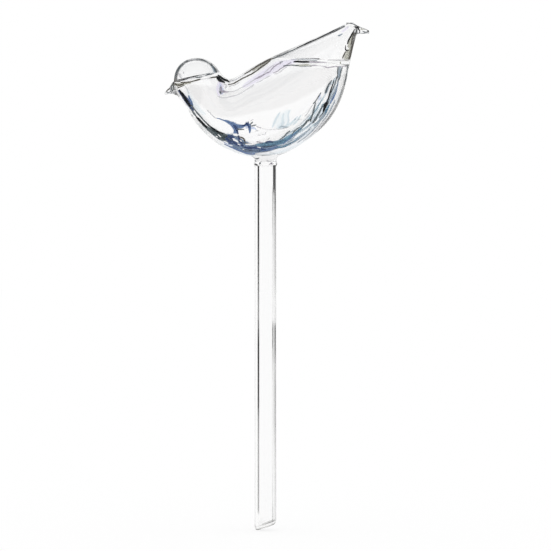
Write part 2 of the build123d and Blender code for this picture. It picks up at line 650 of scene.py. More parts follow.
class PaintedLight(Enum):
    """Painted light: painted reflections of the hues that the glass gathers from the sides and from
    above, a painted highlight and the greys of painted shade where it bends light away. A later one
    lies over an earlier one, and CLEAR and GLARE take those before them away."""

    # Painted reflections of the surroundings, gathered by the glass and the water lens
    GREY_REFLECTION = Hue(("#ECEBEB",), softness=0.28, raggedness=0.12)
    PALE_REFLECTION = Hue(("#E3EEF3",), softness=0.8, raggedness=0.6)
    SKY = Hue(("#B9CFDA",), softness=0.9, raggedness=0.6)
    PERIWINKLE = Hue(("#A6B6DC",), cover=0.2, softness=0.6)
    LILAC = Hue(("#DDD6EE",), softness=0.7, raggedness=0.4)
    RIVER = Hue(
        ("#1D2736", "#33435A", "#50698C", "#2A3850", "#6F88AA", "#394C68", "#212D40"),
        cover=0.55, softness=0.30, raggedness=0.55,
    )
    FLINT = Hue(
        ("#0E1315", "#1C2527", "#3E4C50", "#141B1D", "#7C8C90", "#1E2627", "#10171A"),
        cover=0.85, softness=0.35,
    )
    FEATHER = Hue(
        ("#2F3E49", "#5B7A8C", "#A8C2D0", "#F2F8FB", "#FFFFFF", "#9DB0C0", "#51677A", "#CAD8E4"),
        cover=0.25, softness=0.45,
    )
    TEAL = Hue(("#37607C", "#2A4C66", "#5D8CA8"), cover=0.55, softness=0.4, raggedness=0.6)
    SLATE = Hue(("#45608C",), cover=0.65, raggedness=0.9)
    NAVY = Hue(("#26365E",), cover=0.8, softness=0.4, raggedness=0.8)
    # A painted highlight
    GLARE = Hue(("#FFFFFF",), cover=0.93, raggedness=0.3)
    # Painted shade in dark and grey lines and marks
    OLIVE = Hue(("#98988A",), cover=0.3, softness=0.4)
    UMBER = Hue(("#4A463E",), cover=0.85, softness=0.45)
    ASH = Hue(("#B4B4B8",), cover=0.3, softness=0.8, raggedness=0.4)
    MAUVE = Hue(("#89818F",), cover=0.5, softness=0.7, raggedness=0.4)
    GRAPHITE = Hue(("#50585C",), cover=0.8, softness=0.6)
    CHARCOAL = Hue(("#1B1D1F",), cover=0.96, softness=0.45, raggedness=0.4)
    STEEL = Hue(("#7C8B98",), cover=0.4, softness=0.7)
    # Bare clear glass again, where the painted light before it gives way
    CLEAR = Hue(("#FFFFFF",), raggedness=0.3)


class Weight(Enum):
    """How a stroke changes the glass's lines of painted shade, by what it adds to their weight."""

    HEAVY = 0.5
    FAINT = -0.55


# The depth of a point that lies in no stroke
OUTSIDE = -1.0


@dataclass(frozen=True)
class Stroke:
    """One stroke of painted light, painted shade or line weight on the glass, as the studio's camera sees
    it.

    Attributes:
        path: its points in a row, in millimetres: X, Z and half its width there.
        steps: pieces into which each stretch between two points is cut to curve it.
        margin: how far outside points still count, in half widths.
        finest: the least half width, in millimetres.
    """

    path: tuple[float, ...]
    steps: int = 5
    margin: float = 1.8
    finest: float = 0.05

    def depths(self, points: np.ndarray) -> tuple[np.ndarray, np.ndarray]:
        """How deep points lie in the stroke: 1 on its middle line, 0 on its edge.

        Args:
            points: rows of X and Z in millimetres.

        Returns:
            The numbers of the points that count, and one depth for each of them.
        """
        path = np.array(self.path, float).reshape(-1, 3)
        knots = np.concatenate([[0], np.cumsum(np.linalg.norm(np.diff(path[:, :2], axis=0), axis=1))])
        path = spline_through(knots, path, np.linspace(0, knots[-1], self.steps * (len(path) - 1) + 1))
        middles, halves = path[:, :2], np.maximum(path[:, 2], self.finest)
        reach = self.margin * halves.max()
        low, high = middles.min(axis=0) - reach, middles.max(axis=0) + reach
        near = np.flatnonzero(np.all((points > low) & (points < high), axis=1))
        points = points[near]
        deepest = np.full(len(near), OUTSIDE)
        for start, end, first, last in zip(middles, middles[1:], halves, halves[1:]):
            run = end - start
            along = np.clip((points - start) @ run / (run @ run), 0, 1)
            far = np.linalg.norm(points - start - along[:, None] * run, axis=1)
            deepest = np.maximum(deepest, 1 - far / (first + (last - first) * along))
        return near, deepest


# How strokes stray from their paths: the pitch and the height of two layers of noise and where in
# the noise they are read, all in millimetres, and the noise's seed
STRAYS = ((5.0, 0.22), (1.7, 0.10))
STRAY_SLICE = 7.0
STRAY_SEED = 5
# The weight of the glass's lines of painted shade where no stroke changes it, and how fast a
# stroke's change grows from its edge inwards
PLAIN_WEIGHT = 0.55
WEIGHT_RISE = 2
# How many hues of painted light one vector attribute of the mesh holds
INKS_HELD = 3


def paint(piece: Object, wrapped: Sequence[tuple], seen: Sequence[tuple]) -> None:
    """Writes into a mesh how deep each vertex lies in the strokes of each hue of painted light and
    shade, and how heavy the glass's lines of painted shade are there.

    Strokes are laid out as the studio's camera sees them, so that they line up whatever the depth
    of the glass that carries them.

    Args:
        piece: the piece that is painted.
        wrapped: the table of strokes that both of its sides carry.
        seen: the table of strokes that only the side towards the camera carries.
    """
    places = np.zeros(3 * len(piece.data.vertices))
    piece.data.vertices.foreach_get("co", places)
    places = places.reshape(-1, 3) / MM
    eye_x, eye_z, distance = (v / MM for v in (*Studio.centre, Studio.distance))
    spread = distance / (distance - np.abs(places[:, 1]))
    points = np.stack([
        eye_x + (places[:, 0] - eye_x) * spread, eye_z + (places[:, 2] - eye_z) * spread,
    ], axis=1)
    noise.seed_set(STRAY_SEED)
    for pitch, height in STRAYS:
        points += [
            noise.noise_vector(Vector((x / pitch, STRAY_SLICE, z / pitch))).xz * height for x, z in points
        ]
    inks = list(PaintedLight)
    layers = math.ceil(len(inks) / INKS_HELD)
    depths = np.full((INKS_HELD * layers, len(points)), OUTSIDE)
    weights = np.full(len(points), PLAIN_WEIGHT)
    near_side = places[:, 1] < 0
    for table, everywhere in ((wrapped, True), (seen, False)):
        for mark, *paths in table:
            for path in paths:
                chosen, found = Stroke(path).depths(points)
                carried = near_side[chosen] | everywhere
                chosen, found = chosen[carried], found[carried]
                if isinstance(mark, Weight):
                    weights[chosen] += mark.value * np.clip(WEIGHT_RISE * found, 0, 1)
                else:
                    row = inks.index(mark)
                    depths[row, chosen] = np.maximum(depths[row, chosen], found)
    for number, rows in enumerate(np.split(depths, layers)):
        layer = piece.data.attributes.new(f"inks_{number}", "FLOAT_VECTOR", "POINT")
        layer.data.foreach_set("vector", rows.T.ravel())
    layer = piece.data.attributes.new("line_weight", "FLOAT", "POINT")
    layer.data.foreach_set("value", np.clip(weights, 0, 1))


@dataclass(frozen=True)
class PaintedLightGlassFinish(WeighedGlassFinish):
    """Flame-worked borosilicate glass, fire-polished, seen against white.

    It carries painted reflections of the light that the water lens gathers: navy and slate low in
    the belly, teal streaks up the rear, a lilac band under the back and bare clear glass elsewhere,
    with painted highlights and greys of painted shade over them.

    Attributes:
        blot_pitch: the distance between the blots that make edges ragged.
        belly_centre: the point round which the streaks run, X and Z.
        belly_radius: the distance from there at which their length is true.
        streak_pitch: the distance between streaks, across them.
        streak_length: the length of a streak.
        streak_spiral: how fast streaks draw nearer to that point, towards the tail.
        streak_range: the values of the noise between which a streaky ink runs through its colours.
    """

    blot_pitch: float = 2.6 * MM
    belly_centre: Pair = (0.0, 252 * MM)
    belly_radius: float = 42 * MM
    streak_pitch: float = 1.5 * MM
    streak_length: float = 17 * MM
    streak_spiral: float = 0.05
    streak_range: Pair = (0.35, 0.65)

    def streaks(self, tree: NodeTree) -> NodeSocket:
        """Noise that is drawn out round the belly, for the streaks of painted reflection.

        Args:
            tree: the material's tree.

        Returns:
            The noise, from 0 to 1.
        """
        place = add(tree, "ShaderNodeTexCoord", output="Object")
        parts = add(tree, "ShaderNodeSeparateXYZ", [place]).node.outputs
        x = add(tree, "ShaderNodeMath", [parts["X"], self.belly_centre[0]], operation="SUBTRACT")
        down = add(tree, "ShaderNodeMath", [self.belly_centre[1], parts["Z"]], operation="SUBTRACT")
        turn = add(tree, "ShaderNodeMath", [x, down], operation="ARCTAN2")
        out = add(tree, "ShaderNodeCombineXYZ", [x, down])
        far = add(tree, "ShaderNodeVectorMath", [out], output="Value", operation="LENGTH")
        nearing = self.belly_radius * self.streak_spiral
        across = add(tree, "ShaderNodeMath", [turn, nearing, far], operation="MULTIPLY_ADD")
        lengths = self.belly_radius / self.streak_length
        along = add(tree, "ShaderNodeMath", [turn, lengths], operation="MULTIPLY")
        across = add(tree, "ShaderNodeMath", [across, self.streak_pitch], operation="DIVIDE")
        laid = add(tree, "ShaderNodeCombineXYZ", [along, across])
        return add(tree, "ShaderNodeTexNoise", {
            "Vector": laid, "Scale": 1.0, "Detail": 2.0, "Roughness": 0.55, "Distortion": 0.5,
        })

    def tinted(self, tree: NodeTree) -> tuple[object, object]:
        """Lays the painted reflections, highlights and shade over one another.

        Args:
            tree: the material's tree.

        Returns:
            The colour and how opaque it is.
        """
        place = add(tree, "ShaderNodeTexCoord", output="Object")
        blots = add(tree, "ShaderNodeTexNoise", {
            "Vector": place, "Scale": 1 / self.blot_pitch, "Detail": 4.0, "Roughness": 0.65,
            "Distortion": 0.8,
        })
        streaks = self.streaks(tree)
        colour, cover = linear(self.tint), 0.0
        for number, ink in enumerate(PaintedLight):
            if number % INKS_HELD == 0:
                layer = f"inks_{number // INKS_HELD}"
                held = add(tree, "ShaderNodeAttribute", output="Vector", attribute_name=layer)
                depths = add(tree, "ShaderNodeSeparateXYZ", [held]).node.outputs
            hue = ink.value
            streaked = len(hue.colours) > 1
            ragged = add(tree, "ShaderNodeMath", [
                streaks if streaked else blots, hue.raggedness, depths[number % INKS_HELD],
            ], operation="MULTIPLY_ADD")
            edge = hue.raggedness / 2
            mask = add(tree, "ShaderNodeMapRange", [ragged, edge, edge + hue.softness], **SMOOTH)
            laid = linear(hue.colours[0])
            if streaked:
                spots = np.linspace(*self.streak_range, len(hue.colours))
                laid = add(tree, "ShaderNodeValToRGB", [streaks], stops=[
                    (float(spot), linear(code)) for spot, code in zip(spots, hue.colours)
                ])
            colour = add(tree, "ShaderNodeMix", {0: mask, 6: colour, 7: laid}, output=2, data_type="RGBA")
            # Bare glass and the painted highlight take away the painted light before them
            if ink in (PaintedLight.CLEAR, PaintedLight.GLARE):
                cover = add(tree, "ShaderNodeMix", {0: mask, 2: cover, 3: hue.cover}, data_type="FLOAT")
            else:
                covering = add(tree, "ShaderNodeMath", [mask, hue.cover], operation="MULTIPLY")
                cover = add(tree, "ShaderNodeMath", [cover, covering], operation="MAXIMUM")
        return colour, cover


@dataclass(frozen=True)
class WaterFinish:
    """Clean tap water at rest, against glass.

    It gives the eye a faint cool grey, and with a rim set a darker line of painted shade where it
    meets the glass.

    Attributes:
        name: the material's name.
        tint: sRGB hex of what it lets through.
        line: sRGB hex of the painted shade in the rim's lines.
        ior: how much it bends light.
        rim: distances from the glass, each with how dark the painted shade on the surface is there. With
            none it shows no line.
        reach: the distance from the glass over which rim is read.
    """

    name: str
    tint: str = "#FEFEFE"
    line: str = "#4A4946"
    ior: float = 1.333
    rim: tuple[Pair, ...] = ()
    reach: float = 10 * MM

    def build(self) -> Material:
        """Makes the material.

        Returns:
            The new material.
        """
        material, tree = new_material(self.name)
        surface = add(tree, "ShaderNodeBsdfPrincipled", {
            "Base Color": linear(self.tint), "Roughness": 0.0, "IOR": self.ior,
            "Transmission Weight": 1.0,
        })
        # The rim's dark lines are painted shade
        if self.rim:
            dark = add(tree, "ShaderNodeBsdfPrincipled", {
                "Base Color": linear(self.line), "Roughness": 0.5, "Specular IOR Level": 0.0,
            })
            shore = add(tree, "ShaderNodeAttribute", output="Fac", attribute_name="shore")
            share = add(tree, "ShaderNodeMath", [shore, self.reach], operation="DIVIDE")
            stops = [(far / self.reach, strength) for far, strength in self.rim]
            depth = add(tree, "ShaderNodeValToRGB", [share], stops=stops)
            surface = add(tree, "ShaderNodeMixShader", [depth, surface, dark])
        add(tree, "ShaderNodeOutputMaterial", {"Surface": surface})
        return material


@dataclass(frozen=True)
class FloorFinish:
    """Matt white paper, which gives the eye a white ground with a faint shadow.

    Attributes:
        colour: sRGB hex of the paper.
        glow: the share of its white that doesn't depend on shadow.
    """

    colour: str = "#FFFFFF"
    glow: float = 0.75

    def build(self) -> Material:
        """Makes the material.

        Returns:
            The new material.
        """
        material, tree = new_material("white_paper_floor")
        path = add(tree, "ShaderNodeLightPath").node.outputs
        rays = [path["Is Camera Ray"], path["Is Glossy Ray"]]
        seen = add(tree, "ShaderNodeMath", rays, operation="MAXIMUM")
        seen = add(tree, "ShaderNodeMath", [seen, path["Is Transmission Ray"]], operation="MAXIMUM")
        share = add(tree, "ShaderNodeMath", [seen, self.glow], operation="MULTIPLY")
        paper = add(tree, "ShaderNodeBsdfDiffuse", {"Color": linear(self.colour)})
        glow = add(tree, "ShaderNodeEmission", {"Color": linear(self.colour), "Strength": 1.0})
        mixed = add(tree, "ShaderNodeMixShader", [share, paper, glow])
        add(tree, "ShaderNodeOutputMaterial", {"Surface": mixed})
        return material


# Strokes on the bird that both of its sides carry: painted reflections, painted highlights and painted
# shade, and changes to the weight of its lines of painted shade. Each row is a mark and its strokes.
# Each stroke is its points in a row, in millimetres: X, Z and half the width there.
BELLY_STROKES = (
    (PaintedLight.RIVER,
     (-31, 221.2, 0.8, -28, 219, 2, -25, 217.3, 2.4, -22, 216.2, 2.9, -19, 215.7, 3.8, -16, 214, 4.1,
      -13, 212.2, 4, -9.5, 210.5, 3.4),
     (-11, 210.6, 2.6, -7, 210.2, 2.8, -3, 210.9, 2.9, 1, 211.5, 3, 5, 212.2, 2.7, 8.5, 213.4, 2)),
    (PaintedLight.FLINT,
     (-33, 222.8, 0.8, -30, 220.4, 1.5, -27, 218.6, 2, -24, 217.2, 2.3, -21, 216.4, 1.8,
      -18.6, 215.4, 0.8)),
    (PaintedLight.TEAL,
     (-4.5, 212.6, 0.8, -1, 213, 1.3, 3, 213.3, 1.6, 7, 213.9, 1.7, 10, 215, 1.5, 13, 216.8, 1.2,
      16.5, 219.2, 1, 20, 222, 0.7),
     (5.6, 210.6, 0.6, 10, 211.9, 0.8, 14.4, 213.8, 0.7, 18.6, 216.4, 0.5),
     (28.6, 224.4, 0.5, 31, 227.4, 0.8, 33.2, 230.8, 0.8, 35.2, 234.6, 0.5)),
    (PaintedLight.FEATHER,
     (7, 213.6, 1.8, 11, 215.5, 3.2, 15, 217.6, 3.9, 19.5, 220, 4, 24, 224, 4.2, 28, 228.4, 4.6,
      31.2, 233, 4.7, 33.6, 237.6, 4.4, 35.6, 241.8, 3.7, 37.4, 246, 2.4, 38.6, 249, 1.2)),
    (PaintedLight.NAVY,
     (-48, 242.4, 0.6, -46.6, 241, 1.1, -45, 239, 1.5, -43.6, 237, 1.8, -42.2, 235, 1.6, -41, 233, 1.1,
      -40, 231.6, 0.7),
     (-21, 217.4, 0.7, -19.6, 217.2, 1.2, -18.3, 216.6, 1.3, -18, 214.8, 0.8, -16.4, 213.3, 0.9,
      -14.4, 212.6, 0.8, -12.4, 211.8, 0.6),
     (-14.9, 217.4, 0.6, -14.4, 215.8, 0.9, -13.9, 214.4, 0.9, -12.8, 213.2, 0.5),
     (-22, 216.3, 0.7, -20.8, 215.4, 1, -19.7, 214.2, 0.9, -18.6, 213.4, 0.5),
     (-11.4, 211.4, 0.6, -9, 210.9, 0.8, -6, 211, 0.7, -3.4, 210.6, 0.6, 0, 210, 0.5)),
    (PaintedLight.CHARCOAL,
     (-47.6, 242.8, 0.5, -46.4, 241.2, 0.9, -44.9, 238.8, 1.1, -43.4, 236.4, 1, -42, 234.2, 0.7),
     (-32.6, 224.7, 0.4, -30.4, 222.7, 0.5, -28, 220.8, 0.7, -25.8, 219.6, 0.7, -23.5, 218.7, 0.5),
     (-38.3, 228.3, 0.5, -37, 226.9, 0.9, -35.5, 225.3, 1, -34, 223.7, 0.9, -32.5, 222.2, 0.6),
     (31.8, 231, 0.5, 32.6, 233, 0.9, 33.5, 235.2, 1, 34.3, 237.2, 0.7, 35, 239.4, 0.55, 35.7, 241.6, 0.5,
      36.4, 243.8, 0.45, 37.1, 246.2, 0.4, 37.7, 248, 0.35)),
    (PaintedLight.SLATE,
     (-42.3, 239.8, 0.4, -41.7, 237.8, 0.8, -40.8, 236, 0.8, -40.2, 234.2, 0.5),
     (-22.8, 213, 0.35, -20.5, 211.9, 0.45, -17.5, 210.9, 0.6, -14.5, 209.6, 0.7, -11.5, 208.4, 0.7,
      -8.5, 207.6, 0.6, -6, 207.6, 0.5),
     (-2, 209.4, 0.35, 1, 209.8, 0.5, 3.6, 210.4, 0.5, 6.6, 211.4, 0.35),
     (9.6, 213.2, 0.35, 13, 215.8, 0.4, 16.4, 219.4, 0.35),
     (35.6, 235.4, 0.5, 37.2, 238.4, 0.8, 38.6, 241.8, 0.8, 39.6, 245.6, 0.6, 40.2, 249.2, 0.4)),
    (PaintedLight.GRAPHITE,
     (-41, 234.6, 0.6, -39.4, 232.5, 0.6, -37.7, 230.4, 0.7, -36, 228.4, 0.65, -34, 226.2, 0.65,
      -32, 224.1, 0.7, -30, 222.3, 0.8, -28, 221, 0.9, -26, 219.8, 0.9, -24, 218.9, 0.9, -21.5, 218, 0.7),
     (-41.8, 232.9, 0.5, -40.2, 231, 0.6, -39.2, 229.6, 0.9, -38.4, 228.6, 0.5),
     (-34.4, 223.6, 1, -32.4, 221.9, 1.1, -30.8, 220.5, 1.1, -29.2, 219, 1, -27.4, 217.3, 0.9,
      -25.6, 216, 0.8, -23.8, 215.2, 0.7, -21.5, 214.4, 0.4),
     (7.6, 215.6, 0.4, 10, 217, 0.5, 11.8, 219, 0.6, 13.4, 220.3, 0.4),
     (19.8, 221.8, 0.4, 21.8, 224, 0.7, 23.3, 226, 0.9, 24.8, 226.6, 0.6),
     (24.8, 225.6, 0.5, 25.5, 228, 0.7, 26.4, 231, 0.7, 27, 233.6, 0.6, 27.7, 236, 0.4),
     (26.3, 235.3, 0.35, 27.8, 237.2, 0.45, 29, 239, 0.5, 30.5, 241.4, 0.45),
     (26, 224.8, 0.6, 27.8, 227.2, 0.8, 29, 229.2, 0.7, 30.4, 231.8, 0.6, 32, 234.4, 0.5, 33.2, 236, 0.4),
     (32.9, 241.2, 0.5, 33.6, 243, 0.8, 34.5, 245, 0.85, 35.3, 246.6, 0.7, 36.4, 248.3, 0.4),
     (14.4, 218.4, 0.35, 16.8, 221, 0.45, 19.2, 222.6, 0.35),
     (29.6, 227.4, 0.4, 31.8, 230.6, 0.5, 33.8, 234.2, 0.5, 35.4, 237.6, 0.4),
     (36.2, 241.4, 0.35, 37.4, 244.4, 0.45, 38.6, 247.6, 0.5, 39.4, 250.4, 0.4),
     (43.6, 245.4, 0.35, 44.4, 249, 0.5, 45, 253, 0.5, 45.6, 257, 0.4),
     (40.2, 255.6, 0.5, 39.9, 253, 0.6, 39.9, 251, 0.55, 39.4, 249.2, 0.4),
     (42.3, 255.4, 0.5, 41.6, 252.8, 0.7, 41, 250.6, 0.8, 40.4, 248.8, 0.6, 39.6, 247.6, 0.4)),
    (PaintedLight.PERIWINKLE,
     (-22.8, 213.8, 0.6, -20.4, 212.9, 0.8, -17.6, 211.9, 0.7, -15.4, 211.3, 0.4),
     (30.2, 240.6, 0.5, 29.6, 238, 0.7, 29, 235.5, 0.7, 28.6, 232.4, 0.6, 28.2, 230.4, 0.4)),
    (PaintedLight.STEEL,
     (27, 223.2, 0.7, 29.4, 225.6, 0.8, 31.4, 228, 0.8, 32.6, 230.2, 0.6),
     (34.6, 236.6, 0.6, 36.4, 239.2, 0.9, 38, 241.6, 0.8, 39.2, 244.6, 0.6, 40, 247.6, 0.45),
     (34, 229.4, 0.6, 35.6, 231.6, 0.7, 37, 234, 0.6, 38.2, 236.4, 0.5),
     (8.6, 211.6, 0.45, 12.4, 214.2, 0.55, 16, 217.4, 0.5, 19.4, 221, 0.4),
     (12.6, 212.4, 0.45, 17.2, 215.2, 0.6, 21.4, 218.6, 0.55, 25, 222.6, 0.4),
     (17.4, 213.8, 0.4, 22, 217, 0.5, 26.4, 221, 0.55, 30, 225.4, 0.4),
     (22.6, 221.8, 0.4, 25, 224.6, 0.5, 27.2, 227.8, 0.4),
     (31.4, 225.6, 0.4, 34.2, 229.4, 0.5, 36.6, 233.4, 0.5, 38.4, 237.4, 0.4),
     (41.2, 255.4, 1, 40.8, 252.6, 0.9, 40.4, 250, 0.7)),
    (PaintedLight.CLEAR,
     (31, 238.6, 0.4, 31.8, 240.8, 0.8, 32.2, 242.2, 0.5),
     (29.8, 233.8, 0.4, 31.4, 236, 0.7, 33, 238.2, 0.8, 34.2, 240.8, 0.5, 35.2, 243, 0.4,
      36.2, 245.6, 0.4),
     (-17.4, 218.4, 0.8, -16, 218, 0.8),
     (-17.7, 215.4, 0.5, -16.4, 215, 0.6, -15.3, 214.2, 0.45),
     (-10.8, 213, 0.4, -8.4, 212.7, 0.4, -6, 212.9, 0.3),
     (-27.4, 217.2, 0.3, -26.8, 216.9, 0.4),
     (-26.4, 218.3, 0.25, -25.3, 217.3, 0.35, -24.6, 216.9, 0.25),
     (-23.4, 214.6, 0.25, -22.2, 214.2, 0.4, -20.8, 213.4, 0.3),
     (-19.6, 212.5, 0.3, -18.4, 212.1, 0.35),
     (-18.4, 216.2, 0.25, -17.2, 215.9, 0.3),
     (-15.4, 213.2, 0.3, -14.1, 212.6, 0.35),
     (-14.1, 215.3, 0.3, -13.2, 214.5, 0.35),
     (-12.3, 210.2, 0.3, -11.8, 209.9, 0.25),
     (-4.4, 211.3, 0.25, -2.6, 211, 0.3)),
    (PaintedLight.SKY, (38.6, 234.4, 0.4, 39.8, 237, 0.6, 41, 239.8, 0.6, 42.2, 243, 0.5)),
    (PaintedLight.ASH,
     (20.8, 214.8, 0.4, 25.4, 218.4, 0.5, 29.6, 222.8, 0.5, 33.2, 227.8, 0.4),
     (36.6, 230.2, 0.4, 38.6, 233.8, 0.5, 40, 237.4, 0.4)),
    (PaintedLight.PALE_REFLECTION,
     (-45, 234.5, 0.9, -43, 231, 1, -41, 228, 0.8),
     (-30, 215, 0.8, -25, 212.4, 1, -20, 209.8, 1.1, -13, 207.4, 1, -4, 206.6, 0.8, 6, 208, 1,
      14, 210.6, 1.3, 22, 214.8, 1.3, 30, 220.8, 1.2, 36, 227.6, 1)),
    (PaintedLight.GLARE, (-6, 206.4, 0.8, 0, 206, 1.1, 6, 206.8, 0.9)),
    (Weight.FAINT,
     (-44, 233, 1.6, -36, 221, 2.4, -26, 212, 2.8, -14, 206.4, 3, 0, 204.6, 3, 14, 208, 3, 26, 216, 2.8,
      36, 226.6, 2.8, 42, 237.6, 3, 44.4, 246, 3, 45.6, 251, 1.8),
     (16, 265.4, 0.8, 21, 267.7, 0.9, 27, 270.4, 0.9, 33, 273, 1, 37, 275.2, 1, 40, 277, 0.8)),
    (Weight.HEAVY,
     (5.6, 260.8, 1.6, 12, 263.6, 1.4),
     (-51, 248, 1.4, -50, 252.2, 1.6, -47.6, 256, 2.2, -44, 258.6, 1.4, -39, 260.2, 0.9, -34.6, 259.8, 1.6,
      -30.6, 258.2, 0.8, -27.6, 255, 1.6)),
)
